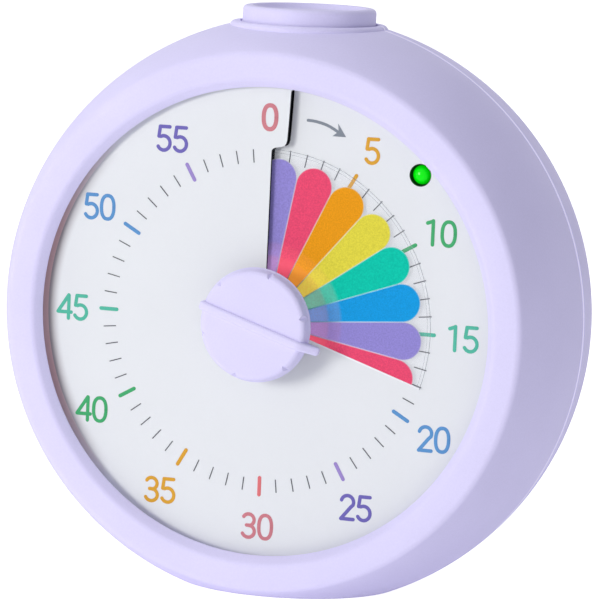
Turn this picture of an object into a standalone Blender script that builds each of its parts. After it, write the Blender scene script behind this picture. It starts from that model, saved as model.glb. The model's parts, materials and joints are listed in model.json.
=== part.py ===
# Visual timer: a round standing case, a white dial with a slit, a rainbow film disc
# that winds through the slit, a knob with a pointer and a button on top.
# Lengths are in metres, +Z is up and the dial looks along -Y. The pieces are drawn in
# a dial frame: x to the right, y up, z towards the viewer, angles clockwise from 12.

import math

import bmesh
import bpy
from mathutils import Matrix, Vector

# Case. Its depth and its largest radius follow from what it holds.
CORNER_MARGIN = 0.00784     # corner of the battery door to the barrel's largest radius
BARREL_ARC_R = 0.0384       # radius of the barrel's bulge from front to back
FRONT_Z = 0.0033            # front face before the middle of the dial
FOOT_CUT = 0.0036           # how much the flat foot cuts off the barrel
WALL = 0.0020
SEAM_GAP = 0.0003
FRONT_EDGE_ROUND = 0.0010
BACK_EDGE_ROUND = 0.0024
NUMBER_SPACE = 0.0097       # film's rim to the opening round the dial
RING_WIDTH = 0.0102         # that opening to the barrel's largest radius
WINDOW_CHAMFER = 0.0009
WINDOW_CHAMFER_DEPTH = 0.0013
LIP_WALL = 0.0016           # sleeve behind the window's edge
LIP_DEPTH = 0.0018          # how far the sleeve reaches behind the middle of the dial
TONGUE_WALL = 0.0011        # ring of the back cover that centres it in the front
TONGUE_REACH = 0.0019
FIT = 0.0003                # clearance between pieces that touch
GRIP = 0.0010               # how far pieces of one moulding run into each other

# Dial and film disc: both climb by DIAL_STEP in one turn, so the film can pass
# through the slit from behind the dial to its front.
DIAL_STEP = 0.0016
DIAL_THICK = 0.0005
DIAL_HOLE_R = 0.0062
DIAL_SLIT_ANGLE = 0.4
DIAL_JOG_ANGLE = 5.5
DIAL_JOG_GAP = 0.0005       # film's rim to the jog in the slit
DIAL_JOG_WIDTH = 0.0004
FILM_R = 0.0268
FILM_THICK = 0.00025
FILM_FLOAT = 0.0004         # film's back above the dial's front
FILM_ANGLE = 108.5          # leading edge at rest, 18 minutes
HUB_R = 0.0046
HUB_MARGIN = 0.0002
SPACER_GAP = 0.0018         # film's rim to the spacer ring
SPACER_END_ANGLE = 1.5      # from the dial's slit to either end of the spacer

# Knob
KNOB_SKIRT_R = 0.0089
KNOB_FACE_INSET = 0.0006
KNOB_FACE_Z = 0.0065
KNOB_SKIRT_Z = 0.0044
KNOB_EDGE_ROUND = 0.0006
KNOB_TAPER = 0.0002         # how much wider the side is below its rounded edge
KNOB_STEM_R = 0.0042
KNOB_STEM_Z = 0.0026
KNOB_SOCKET_Z = 0.0051
KNOB_ANGLE = 108.0
RIB_WIDTH = 0.0012
RIB_HEIGHT = 0.0006
POINTER_REACH = 0.0021      # pointer beyond the skirt
NOTCHES = 6
NOTCH_DEPTH = 0.0013
NOTCH_WIDTH = 0.0018

# Shaft, chassis and clockwork
SHAFT_R = 0.0020
SHAFT_COLLAR_R = 0.0032
JOURNAL_R = 0.0012
CHASSIS_GAP = 0.0020        # between the chassis and the case's wall
CHASSIS_Z = -0.0024
CHASSIS_THICK = 0.0016
GEAR_MODULE = 0.0008
MAIN_TEETH = 30
WHEEL_TEETH = 24
PINION_TEETH = 8
TIP_SHARE = 0.75            # tooth height above the pitch circle, in modules
ROOT_SHARE = 1.05           # and below it
TOOTH_TIP = 0.20            # width of a tooth at its tip, as a share of the pitch
TOOTH_FOOT = 0.40
WHEEL_ANGLE = 240.0         # middle wheel seen from the knob axis
ROTOR_ANGLE = 120.0         # rotor seen from the middle wheel
ARBOR_R = 0.0009
GEAR_THICK = 0.0012
GEAR_CLEAR = 0.0005         # main gear behind the chassis and its gap
GEAR_SPACE = 0.0016         # between the two planes of gears
CASE_DEPTH = 0.0102
CASE_WALL = 0.0012
CASE_CLEAR = 0.0007         # between the gears and the movement case's walls
EAR_REACH = 0.0050
LEFT_EAR_UP = -0.0160
RIGHT_EAR_UP = 0.0060
ROTOR_R = 0.0038
STATOR_TAIL = 0.0026        # lamination beyond the rotor, to the left
STATOR_SIDE = 0.0018        # and to either side
STATOR_CORNER = 0.0010
COIL_R = 0.0024
COIL_LENGTH = 0.0090
COIL_CHEEK = 0.0007
COIL_SPACE = 0.0051         # rotor to coil

# Electronics
BOARD_INSET = 0.0046        # chassis' rim to the board's rim
BOARD_GAP = 0.0027          # movement case to the board's straight edge
BOARD_THICK = 0.0016
BOARD_STANDOFF = 0.0017
BOARD_POSTS = ((-0.0170, 0.0240), (0.0130, 0.0240))
LED_ANGLE = 44.5
LED_INSET = 0.0023          # window's edge to the lamp
LED_R = 0.00145
LED_HEIGHT = 0.0056
LED_TIP_Z = 0.0003
LED_FLANGE_R = 0.0018
LED_FLANGE = 0.0010
LED_WIRE_R = 0.00025
LED_WIRE_SPREAD = 0.00127
SWITCH_SIZE = 0.0060
SWITCH_HEIGHT = 0.0035
ACTUATOR_R = 0.0016
ACTUATOR_RISE = 0.0016      # plunger above its switch
BUZZER_R = 0.0080
BUZZER_THICK = 0.0038
BUZZER_INSET = 0.0176       # barrel's largest radius to the buzzer's axis

# Button on top
BUTTON_R = 0.0105
BUTTON_RISE = 0.0014        # button above the barrel's largest radius
BUTTON_TRAVEL = 0.0010
BUTTON_WALL = 0.0012
BUTTON_FLANGE = 0.0015
BUTTON_HEIGHT = 0.0069
BUTTON_EDGE_ROUND = 0.0009
BUTTON_DISH = 0.0004
BUTTON_GAP = 0.0004         # between the button and its collar
COLLAR_WALL = 0.0015
COLLAR_SINK = 0.0011        # collar below the barrel's largest radius

# Battery bay, door and back
CELL_R = 0.00725
CELL_LENGTH = 0.0505
CELL_PITCH = 0.0150
CONTACT_SPACE = 0.0024
BAY_UP = -0.0100            # middle of the bay from the knob axis
BAY_WALL = 0.0016
MOVEMENT_GAP = 0.0013       # movement case to the battery bay
DOOR_THICK = 0.0022
DOOR_MARGIN = 0.0011
DOOR_PIN_R = 0.0005
DOOR_PIN_LENGTH = 0.0009
CELL_EDGE = 0.0005
NUB_R = 0.0027
NUB_LENGTH = 0.0010
CONTACT_THICK = 0.0004
CONTACT_WIRE_R = 0.00035
CONTACT_TURNS = 3
CONTACT_WIDE_R = 0.0046
CONTACT_NARROW_R = 0.0026
SLIDER_X = 0.0200
SLIDER_GAP = 0.0100         # battery door to the switches' axis
SLIDER_TRAVEL = 0.0020
SLIDER_LENGTH = 0.0028
SLIDER_HEIGHT = 0.0020
SLIDER_CASE_LENGTH = 0.0092
SLIDER_CASE_HEIGHT = 0.0046
SLIDER_CASE_DEPTH = 0.0040
SLIDER_SUNK = 0.0004
SLIDER_EDGE = 0.0002
REAR_BOSS_X = 0.0088
GRILLE_HOLE_R = 0.0009
GRILLE_PITCH = 0.0035

# Screws
SCREW_R = 0.0009
SCREW_HEAD_R = 0.0017
SCREW_HEAD = 0.0011
POST_R = 0.0026
POST_INSET = 0.0041         # chassis' rim to its posts
POST_ANGLES = (60, 150, 210, 300)
BOSS_R = 0.0020
BOSS_INSET = 0.0020         # chassis' rim to the case's bosses
BOSS_ANGLES = (0, 120, 240)
POST_PILOT = 0.0080         # depth of a post's screw hole
COVER_SINK = 0.0030         # depth of the wells for the cover's screws
REAR_SCREW_REACH = 0.0030   # screw beyond the rear board

ROUND_STEPS = 60
FACE_STEPS = 40
SMALL_STEPS = 20
# A bore in a turned piece is turned by half a step, so its edges miss the piece's own.
HALF_STEP = (0, 0, math.pi / ROUND_STEPS)

# Along the knob's axis, from the dial to the back
KNOB_TOP_Z = KNOB_FACE_Z + RIB_HEIGHT
CHASSIS_BACK = CHASSIS_Z - CHASSIS_THICK
CASE_FRONT = CHASSIS_BACK - FIT
CASE_BACK = CASE_FRONT - CASE_DEPTH
MAIN_GEAR_Z = CASE_FRONT - GEAR_CLEAR
WHEEL_Z = MAIN_GEAR_Z - GEAR_THICK - GEAR_SPACE
BOARD_Z = CHASSIS_BACK - BOARD_STANDOFF - FIT
PLUNGER_Z = BOARD_Z - BOARD_THICK - FIT - SWITCH_SIZE / 2
BAY_FLOOR_Z = CASE_BACK - MOVEMENT_GAP - CASE_WALL
CELL_Z = BAY_FLOOR_Z - FIT - CELL_R
DOOR_INNER_Z = CELL_Z - CELL_R - FIT
BACK_Z = DOOR_INNER_Z - DOOR_THICK
DOOR_AXIS_Z = BACK_Z + DOOR_THICK / 2
HALF_DEPTH = (FRONT_Z - BACK_Z) / 2
SEAM_Z = FRONT_Z - HALF_DEPTH
BUZZER_Z = BACK_Z + WALL + FIT
SLIDE_CASE_Z = BACK_Z + WALL + FIT
SLIDE_CASE_TOP = SLIDE_CASE_Z + SLIDER_CASE_DEPTH
REAR_BOARD_Z = SLIDE_CASE_TOP + FIT

# Across it, from the battery bay outwards
BAY_HALF_X = CELL_LENGTH / 2 + CONTACT_SPACE
BAY_HALF_Y = CELL_PITCH / 2 + CELL_R + FIT
DOOR_HALF_X = BAY_HALF_X + DOOR_MARGIN
DOOR_LOW_Y = BAY_UP - BAY_HALF_Y - DOOR_MARGIN
DOOR_HIGH_Y = BAY_UP + BAY_HALF_Y + DOOR_MARGIN
DOOR_AXIS_Y = DOOR_LOW_Y + DOOR_THICK / 2
SLIDER_UP = DOOR_HIGH_Y + SLIDER_GAP
CROWN_R = max(math.hypot(DOOR_HALF_X, DOOR_LOW_Y) + CORNER_MARGIN, FILM_R + NUMBER_SPACE + RING_WIDTH)
FOOT_DROP = CROWN_R - FOOT_CUT
WINDOW_R = CROWN_R - RING_WIDTH
LED_DIAL_R = WINDOW_R - LED_INSET
DIAL_JOG_R = FILM_R + DIAL_JOG_GAP
SPACER_INNER_R = FILM_R + SPACER_GAP
SPACER_OUTER_R = LED_DIAL_R - LED_FLANGE_R - FIT
KNOB_FACE_R = KNOB_SKIRT_R - KNOB_FACE_INSET
POINTER_R = KNOB_SKIRT_R + POINTER_REACH
BUZZER_UP = CROWN_R - BUZZER_INSET
BUTTON_TOP = CROWN_R + BUTTON_RISE
BUTTON_SKIRT_BOTTOM = BUTTON_TOP - BUTTON_HEIGHT
COLLAR_BORE_R = BUTTON_R + BUTTON_GAP
COLLAR_R = COLLAR_BORE_R + COLLAR_WALL
COLLAR_TOP = CROWN_R - COLLAR_SINK

DIAL_Y = (BACK_Z + KNOB_TOP_Z) / 2

for old in list(bpy.data.objects):
    bpy.data.objects.remove(old, do_unlink=True)
parts = bpy.data.collections.new("visual_timer")
cutters = bpy.data.collections.new("visual_timer_cutters")
bpy.context.scene.collection.children.link(parts)
bpy.context.scene.collection.children.link(cutters)


def empty(name, location, rotation=(0, 0, 0)):
    """An empty that carries pieces drawn in its own frame."""
    axis = bpy.data.objects.new(name, None)
    axis.location = location
    axis.rotation_euler = rotation
    parts.objects.link(axis)
    return axis


dial_frame = empty("dial_frame", (0, DIAL_Y, FOOT_DROP), (math.pi / 2, 0, 0))
# The upright frame has the same centre, with its z up and its y away from the viewer.
upright_frame = empty("upright_frame", (0, DIAL_Y, FOOT_DROP))


def add(name, mesh, frame=None, at=(0, 0, 0), turn=(0, 0, 0)):
    """Put a mesh into the model under its own name."""
    piece = bpy.data.objects.new(name, mesh)
    piece.parent = frame or dial_frame
    piece.location = at
    piece.rotation_euler = turn
    parts.objects.link(piece)
    return piece


def from_bmesh(name, bm, **place):
    mesh = bpy.data.meshes.new(name)
    bm.to_mesh(mesh)
    bm.free()
    return add(name, mesh, **place)


def finish(piece, colour, roughness, metallic=0.0):
    """Give a piece its own plain material."""
    material = bpy.data.materials.new(piece.name)
    material.use_nodes = True
    shader = material.node_tree.nodes["Principled BSDF"]
    shader.inputs["Base Color"].default_value = (*colour, 1.0)
    shader.inputs["Roughness"].default_value = roughness
    shader.inputs["Metallic"].default_value = metallic
    piece.data.materials.clear()
    piece.data.materials.append(material)
    return piece


def as_cutter(piece):
    """Keep a helper shape out of the finished model."""
    parts.objects.unlink(piece)
    cutters.objects.link(piece)
    piece.hide_render = True
    piece.display_type = 'WIRE'
    return piece


def combine(piece, other, operation):
    step = piece.modifiers.new(operation.title() + " " + other.name, 'BOOLEAN')
    step.operation = operation
    step.solver = 'EXACT'
    step.object = as_cutter(other)


def cut(piece, *others):
    for other in others:
        combine(piece, other, 'DIFFERENCE')


def join(piece, *others):
    for other in others:
        combine(piece, other, 'UNION')


def turned(name, profile, steps=ROUND_STEPS, ring=False, **place):
    """Revolve a profile of (radius, height) points about the frame's z axis."""
    bm = bmesh.new()
    points = [bm.verts.new((radius, 0, height)) for radius, height in profile]
    for first, second in zip(points, points[1:]):
        bm.edges.new((first, second))
    if ring:
        bm.edges.new((points[-1], points[0]))
    piece = from_bmesh(name, bm, **place)
    screw = piece.modifiers.new("Turn", 'SCREW')
    screw.steps = steps
    screw.render_steps = steps
    screw.use_merge_vertices = True
    screw.merge_threshold = 0.00001
    return piece


def box(name, x_span, y_span, z_span, **place):
    """A block given by its two limits along each axis."""
    spans = (x_span, y_span, z_span)
    size = [high - low for low, high in spans]
    middle = [(high + low) / 2 for low, high in spans]
    bm = bmesh.new()
    bmesh.ops.create_cube(bm, size=1.0, matrix=Matrix.Translation(middle) @ Matrix.Diagonal((*size, 1)))
    return from_bmesh(name, bm, **place)


def rod(name, radius, low, high, steps=SMALL_STEPS, **place):
    """A cylinder along the frame's z axis between two heights."""
    bm = bmesh.new()
    bmesh.ops.create_cone(
        bm, cap_ends=True, segments=steps, radius1=radius, radius2=radius,
        depth=high - low, matrix=Matrix.Translation((0, 0, (high + low) / 2)))
    return from_bmesh(name, bm, **place)


def plate(name, loops, low, high, **place):
    """A flat outline, with any holes, extruded between two heights."""
    curve = bpy.data.curves.new(name, 'CURVE')
    curve.dimensions = '2D'
    curve.fill_mode = 'BOTH'
    curve.extrude = (high - low) / 2
    for loop in loops:
        spline = curve.splines.new('POLY')
        spline.points.add(len(loop) - 1)
        for point, (x, y) in zip(spline.points, loop):
            point.co = (x, y, 0, 1)
        spline.use_cyclic_u = True
    guide = bpy.data.objects.new(name, curve)
    cutters.objects.link(guide)
    mesh = mesh_of(guide)
    mesh.transform(Matrix.Translation((0, 0, (high + low) / 2)))
    return add(name, mesh, **place)


def mesh_of(guide):
    """Turn a curve object into a closed mesh and remove the curve."""
    guide.name = guide.name + "_curve"
    bpy.context.view_layer.update()
    depsgraph = bpy.context.evaluated_depsgraph_get()
    mesh = bpy.data.meshes.new_from_object(guide.evaluated_get(depsgraph))
    bpy.data.objects.remove(guide, do_unlink=True)
    bm = bmesh.new()
    bm.from_mesh(mesh)
    bmesh.ops.remove_doubles(bm, verts=bm.verts, dist=0.000001)
    bmesh.ops.recalc_face_normals(bm, faces=bm.faces)
    bm.to_mesh(mesh)
    bm.free()
    return mesh


def smooth(piece, angle=35):
    piece.data.shade_smooth()
    piece.data.set_sharp_from_angle(angle=math.radians(angle))
    return piece


def clock(radius, angle):
    """The dial point at a radius and an angle clockwise from 12."""
    turn = math.radians(angle)
    return (radius * math.sin(turn), radius * math.cos(turn), 0)


def circle(radius, steps, centre=(0, 0)):
    turns = [2 * math.pi * k / steps for k in range(steps)]
    return [(centre[0] + radius * math.cos(t), centre[1] + radius * math.sin(t)) for t in turns]


def barrel_r(height, inset=0.0):
    """Radius of the case's bulging side at a height in the dial frame."""
    arc = BARREL_ARC_R - inset
    return CROWN_R - BARREL_ARC_R + math.sqrt(arc ** 2 - (height - SEAM_Z) ** 2)


def barrel_side(top, bottom, inset=0.0, pieces=6):
    heights = [top + (bottom - top) * k / pieces for k in range(pieces + 1)]
    return [(barrel_r(height, inset), height) for height in heights]


def rounded(before, corner, after, pieces=2):
    """Points that round a corner between the last point before and the first after."""
    start, middle, end = Vector(before), Vector(corner), Vector(after)
    points = []
    for k in range(pieces + 1):
        t = k / pieces
        points.append(tuple(start * (1 - t) ** 2 + middle * 2 * t * (1 - t) + end * t ** 2))
    return points


def dial_height(angle):
    """Front of the dial at a clock angle, zero halfway round."""
    return DIAL_STEP * (angle / 360 - 0.5)


def below_foot(name, top_drop, low, high):
    """A block under the knob axis that cuts a flat floor."""
    reach = CROWN_R + GRIP
    return box(name, (-reach, reach), (-reach, -top_drop), (low, high))


CHASSIS_R = barrel_r(CHASSIS_Z, WALL) - CHASSIS_GAP
POST_CIRCLE_R = CHASSIS_R - POST_INSET
BOSS_CIRCLE_R = CHASSIS_R - BOSS_INSET
BOARD_R = CHASSIS_R - BOARD_INSET
TACT_TOP = BOARD_R - FIT
ACTUATOR_TOP = TACT_TOP + ACTUATOR_RISE


# Case

def case_edge(front, edge_round):
    """The rounded rim between a flat face and the bulging side, from the face outwards."""
    face_z = FRONT_Z if front else BACK_Z
    inward = -1 if front else 1
    corner = (barrel_r(face_z), face_z)
    side_z = face_z + inward * edge_round
    return rounded((corner[0] - edge_round, face_z), corner, (barrel_r(side_z), side_z))


def half_case(name, front):
    """The outside of one half with its half of the button's collar, still filled in."""
    edge = case_edge(front, FRONT_EDGE_ROUND if front else BACK_EDGE_ROUND)
    beyond = GRIP if front else -GRIP
    if front:
        side = barrel_side(edge[-1][1], SEAM_Z - beyond)
        profile = [(0, FRONT_Z)] + edge + side[1:] + [(0, SEAM_Z - beyond)]
    else:
        side = barrel_side(SEAM_Z - beyond, edge[-1][1])
        profile = [(0, SEAM_Z - beyond)] + side[:-1] + edge[::-1] + [(0, BACK_Z)]
    case = turned(name, profile)
    collar_low = CROWN_R - WALL - GRIP - 0.5 * COLLAR_R
    collar_edge = rounded((COLLAR_R - BUTTON_EDGE_ROUND, COLLAR_TOP), (COLLAR_R, COLLAR_TOP),
                          (COLLAR_R, COLLAR_TOP - BUTTON_EDGE_ROUND))
    collar = turned(name + "_collar", [(0, COLLAR_TOP)] + collar_edge + [(COLLAR_R, collar_low), (0, collar_low)],
                    steps=FACE_STEPS, frame=upright_frame, at=(0, -SEAM_Z, 0))
    join(case, collar)
    reach = CROWN_R + COLLAR_R
    if front:
        span = (SEAM_Z - HALF_DEPTH, SEAM_Z + SEAM_GAP / 2)
    else:
        span = (SEAM_Z - SEAM_GAP / 2, SEAM_Z + HALF_DEPTH)
    cut(case, box(name + "_seam", (-reach, reach), (-reach, reach), span))
    cut(case, below_foot(name + "_foot", FOOT_DROP, BACK_Z - GRIP, FRONT_Z + GRIP))
    return case


def button_bore(name):
    return rod(name, COLLAR_BORE_R, CROWN_R - 0.5 * COLLAR_R, max(CROWN_R, COLLAR_TOP) + GRIP, steps=FACE_STEPS,
               frame=upright_frame, at=(0, -SEAM_Z, 0), turn=(0, 0, math.pi / FACE_STEPS))


def button_well(name):
    """Room under the collar for the button's flange."""
    return rod(name, BUTTON_R + BUTTON_FLANGE + FIT, CROWN_R - 0.7 * COLLAR_R,
               BUTTON_SKIRT_BOTTOM + BUTTON_WALL + FIT, steps=FACE_STEPS,
               frame=upright_frame, at=(0, -SEAM_Z, 0), turn=(0, 0, math.pi / FACE_STEPS))


def make_front_housing():
    case = half_case("front_housing", True)
    window_z = FRONT_Z - WINDOW_CHAMFER_DEPTH
    over_z = FRONT_Z + GRIP
    over_r = WINDOW_R + WINDOW_CHAMFER * (over_z - window_z) / WINDOW_CHAMFER_DEPTH
    ceiling_z = FRONT_Z - WALL
    sleeve_r = WINDOW_R + LIP_WALL
    cavity = turned("front_cavity", [
        (0, over_z), (over_r, over_z), (WINDOW_R, window_z), (WINDOW_R, -LIP_DEPTH),
        (sleeve_r, -LIP_DEPTH), (sleeve_r, ceiling_z)]
        + barrel_side(ceiling_z, SEAM_Z - GRIP, inset=WALL, pieces=3) + [(0, SEAM_Z - GRIP)],
        turn=HALF_STEP)
    cut(cavity, below_foot("front_floor", FOOT_DROP - WALL, SEAM_Z - 2 * GRIP, FRONT_Z + 2 * GRIP))
    cut(case, cavity, button_bore("front_button_bore"), button_well("front_button_well"))
    for number, angle in enumerate(BOSS_ANGLES, 1):
        boss = rod("front_boss_%d" % number, BOSS_R, CHASSIS_Z + FIT, ceiling_z + GRIP / 2, steps=12,
                   at=clock(BOSS_CIRCLE_R, angle))
        join(case, boss)
    for number, angle in enumerate(BOSS_ANGLES, 1):
        pilot = rod("front_pilot_%d" % number, SCREW_R + FIT, -LIP_DEPTH - GRIP, ceiling_z - FIT,
                    steps=10, at=clock(BOSS_CIRCLE_R, angle))
        cut(case, pilot)
    return finish(smooth(case), (0.72, 0.68, 0.93), 0.42)


def make_rear_cover():
    case = half_case("rear_cover", False)
    wall_z = BACK_Z + WALL
    tongue_r = barrel_r(SEAM_Z, WALL) - FIT
    inner_r = tongue_r - TONGUE_WALL - FIT
    step_z = SEAM_Z - 2 * TONGUE_REACH
    side = barrel_side(step_z - GRIP, wall_z, inset=WALL, pieces=3)
    cavity = turned("rear_cavity", [(0, SEAM_Z + GRIP), (inner_r, SEAM_Z + GRIP), (inner_r, step_z)]
                    + side + [(0, wall_z)], turn=HALF_STEP)
    cut(cavity, below_foot("rear_floor", FOOT_DROP - WALL, wall_z - GRIP, SEAM_Z + 2 * GRIP))
    cut(case, cavity)
    tongue = turned("rear_tongue", [
        (tongue_r, SEAM_Z + TONGUE_REACH), (tongue_r, SEAM_Z - GRIP),
        (tongue_r - TONGUE_WALL, SEAM_Z - GRIP), (tongue_r - TONGUE_WALL, SEAM_Z + TONGUE_REACH)], ring=True)
    cut(tongue, below_foot("tongue_floor", FOOT_DROP - 3 * WALL, SEAM_Z - 2 * GRIP, SEAM_Z + 2 * TONGUE_REACH))
    cut(tongue, box("tongue_top", (-COLLAR_R, COLLAR_R), (tongue_r / 2, CROWN_R),
                    (SEAM_Z - 2 * GRIP, SEAM_Z + 2 * TONGUE_REACH)))
    join(case, tongue)
    cut(case, button_bore("rear_button_bore"), button_well("rear_button_well"))
    add_bay(case)
    add_back_details(case)
    return finish(smooth(case), (0.72, 0.68, 0.93), 0.45)


def add_bay(case):
    """The battery bay, with the ledge and the pin holes of its door."""
    outer_x = BAY_HALF_X + BAY_WALL
    outer_y = BAY_HALF_Y + BAY_WALL
    join(case, box("bay_block", (-outer_x, outer_x), (BAY_UP - outer_y, BAY_UP + outer_y),
                   (BACK_Z + WALL / 2, BAY_FLOOR_Z + CASE_WALL)))
    cut(case, box("bay_hollow", (-BAY_HALF_X, BAY_HALF_X), (BAY_UP - BAY_HALF_Y, BAY_UP + BAY_HALF_Y),
                  (BACK_Z - GRIP, BAY_FLOOR_Z)))
    ledge_z = DOOR_INNER_Z + FIT
    cut(case, box("door_recess", (-DOOR_HALF_X - FIT, DOOR_HALF_X + FIT),
                  (DOOR_LOW_Y - FIT, DOOR_HIGH_Y + FIT), (BACK_Z - GRIP, ledge_z)))
    pin_reach = DOOR_HALF_X + DOOR_PIN_LENGTH + FIT
    cut(case, rod("door_pin_holes", DOOR_PIN_R + FIT, -pin_reach, pin_reach, steps=10,
                  at=(0, DOOR_AXIS_Y, DOOR_AXIS_Z), turn=(0, math.pi / 2, 0)))


def add_back_details(case):
    """Screw tubes, buzzer ring with its grille, switch slots and board bosses."""
    inside = BACK_Z + WALL / 2
    for number, angle in enumerate(POST_ANGLES, 1):
        join(case, rod("cover_tube_%d" % number, POST_R + FIT, inside, SEAM_Z - SEAM_GAP / 2, steps=14,
                       at=clock(POST_CIRCLE_R, angle)))
    for number, angle in enumerate(POST_ANGLES, 1):
        at = clock(POST_CIRCLE_R, angle)
        cut(case, rod("cover_hole_%d" % number, SCREW_R + FIT, BACK_Z - GRIP, SEAM_Z + GRIP, steps=10, at=at),
            rod("cover_sink_%d" % number, SCREW_HEAD_R + 2 * FIT, BACK_Z - GRIP, BACK_Z + COVER_SINK,
                steps=14, at=at))
    ring_r = BUZZER_R + FIT
    ring_top = BUZZER_Z + BUZZER_THICK + FIT
    join(case, turned("buzzer_ring", [(ring_r + CASE_WALL, ring_top), (ring_r + CASE_WALL, inside),
                                      (ring_r, inside), (ring_r, ring_top)],
                      steps=24, ring=True, at=(0, BUZZER_UP, 0)))
    for number, (x, y) in enumerate(grille_points(), 1):
        cut(case, rod("grille_hole_%d" % number, GRILLE_HOLE_R, BACK_Z - GRIP, BACK_Z + WALL + GRIP / 2,
                      steps=8, at=(x, BUZZER_UP + y, 0)))
    for side, label in ((-1, "left"), (1, "right")):
        half = SLIDER_LENGTH / 2 + SLIDER_TRAVEL + FIT
        tall = SLIDER_HEIGHT / 2 + FIT
        cut(case, box("slot_" + label, (side * SLIDER_X - half, side * SLIDER_X + half),
                      (SLIDER_UP - tall, SLIDER_UP + tall), (BACK_Z - GRIP, BACK_Z + WALL + GRIP)))
        at = (side * REAR_BOSS_X, SLIDER_UP, 0)
        join(case, rod("board_boss_" + label, BOSS_R, inside, REAR_BOARD_Z - FIT, steps=10, at=at))
        cut(case, rod("board_pilot_" + label, SCREW_R + FIT, BACK_Z + WALL, REAR_BOARD_Z + GRIP, steps=10, at=at))


def grille_points():
    """A centre hole and a ring of holes for the buzzer's sound."""
    return [(0.0, 0.0)] + circle(GRILLE_PITCH, 6)


def make_battery_door():
    """A flat door that swings out on two pins at its lower edge."""
    half = DOOR_THICK / 2
    bow = [(DOOR_AXIS_Y - half * math.sin(t), half * math.cos(t))
           for t in (math.pi * k / 8 for k in range(9))]
    outline = [(DOOR_HIGH_Y, half)] + bow + [(DOOR_HIGH_Y, -half)]
    shifted = [(y - DOOR_AXIS_Y, -z) for y, z in outline]
    door = plate("battery_door", [shifted], -DOOR_HALF_X, DOOR_HALF_X,
                 at=(0, DOOR_AXIS_Y, DOOR_AXIS_Z), turn=(math.pi / 2, 0, math.pi / 2))
    pin = rod("battery_door_pins", DOOR_PIN_R, -DOOR_HALF_X - DOOR_PIN_LENGTH, DOOR_HALF_X + DOOR_PIN_LENGTH,
              steps=10, at=(0, DOOR_AXIS_Y, DOOR_AXIS_Z), turn=(0, math.pi / 2, 0))
    join(door, pin)
    return finish(smooth(door), (0.70, 0.66, 0.91), 0.5)


# Dial and film disc

def make_dial_plate():
    """A white sheet that climbs once round, slit from the hole to the rim with a jog."""
    rim_r = WINDOW_R - FIT
    jog_out = DIAL_JOG_R + DIAL_JOG_WIDTH
    edge = [(DIAL_HOLE_R, DIAL_SLIT_ANGLE), (DIAL_JOG_R, DIAL_SLIT_ANGLE),
            (jog_out, DIAL_JOG_ANGLE), (rim_r, DIAL_JOG_ANGLE)]
    dial = climbing_sheet("dial_plate", edge, DIAL_STEP, 0.0, DIAL_THICK)
    led_at = clock(LED_DIAL_R, LED_ANGLE)
    cut(dial, rod("dial_led_hole", LED_R + FIT, CHASSIS_Z, FRONT_Z, steps=20, at=led_at))
    return finish(smooth(dial), (0.90, 0.91, 0.92), 0.5)


def climbing_sheet(name, edge, step, lift, thick):
    """Sweep an edge one turn anticlockwise while it sinks, then thicken it backwards.

    The edge is a row of (radius, clock angle) points. Its start is the high end."""
    bm = bmesh.new()
    points = []
    for radius, angle in edge:
        x, y, _ = clock(radius, angle)
        points.append(bm.verts.new((x, y, lift + dial_height(angle + 360))))
    for first, second in zip(points, points[1:]):
        bm.edges.new((first, second))
    sheet = from_bmesh(name, bm)
    sweep = sheet.modifiers.new("Climb", 'SCREW')
    sweep.steps = ROUND_STEPS
    sweep.render_steps = ROUND_STEPS
    sweep.screw_offset = -step
    sweep.use_merge_vertices = False
    body = sheet.modifiers.new("Thickness", 'SOLIDIFY')
    body.thickness = thick
    body.offset = -1
    return sheet


def make_rainbow_disc():
    """The film with its hub. It turns with the knob and slides as it climbs."""
    low = FILM_FLOAT + FILM_THICK
    disc = climbing_sheet("rainbow_disc", [(HUB_R - GRIP / 2, FILM_ANGLE), (FILM_R, FILM_ANGLE)],
                          DIAL_STEP, low - DIAL_STEP, FILM_THICK)
    top = dial_height(FILM_ANGLE) + low + HUB_MARGIN
    bottom = dial_height(FILM_ANGLE - 360) + FILM_FLOAT - HUB_MARGIN
    bore = SHAFT_R + FIT
    hub = turned("rainbow_disc_hub", [(HUB_R, top), (HUB_R, bottom), (bore, bottom), (bore, top)],
                 steps=20, ring=True)
    join(disc, hub)
    return finish(smooth(disc), (0.85, 0.75, 0.60), 0.35)


def make_dial_spacer():
    """A ring whose front climbs like the dial's back and whose back is flat."""
    bm = bmesh.new()
    steps = ROUND_STEPS
    rows = []
    for k in range(steps):
        angle = DIAL_JOG_ANGLE + SPACER_END_ANGLE + (360 - 2 * SPACER_END_ANGLE) * k / (steps - 1)
        height = dial_height(angle) - DIAL_THICK - FIT
        ends = []
        for radius in (SPACER_INNER_R, SPACER_OUTER_R):
            x, y, _ = clock(radius, angle)
            ends.append(bm.verts.new((x, y, height)))
        rows.append(ends)
    for (a, b), (c, d) in zip(rows, rows[1:]):
        bm.faces.new((a, c, d, b))
    grown = bmesh.ops.extrude_face_region(bm, geom=bm.faces[:])
    for item in grown["geom"]:
        if isinstance(item, bmesh.types.BMVert):
            item.co.z = CHASSIS_Z + FIT
    bmesh.ops.recalc_face_normals(bm, faces=bm.faces)
    spacer = from_bmesh("dial_spacer_ring", bm)
    return finish(smooth(spacer), (0.10, 0.10, 0.12), 0.5)


# Knob

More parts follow.
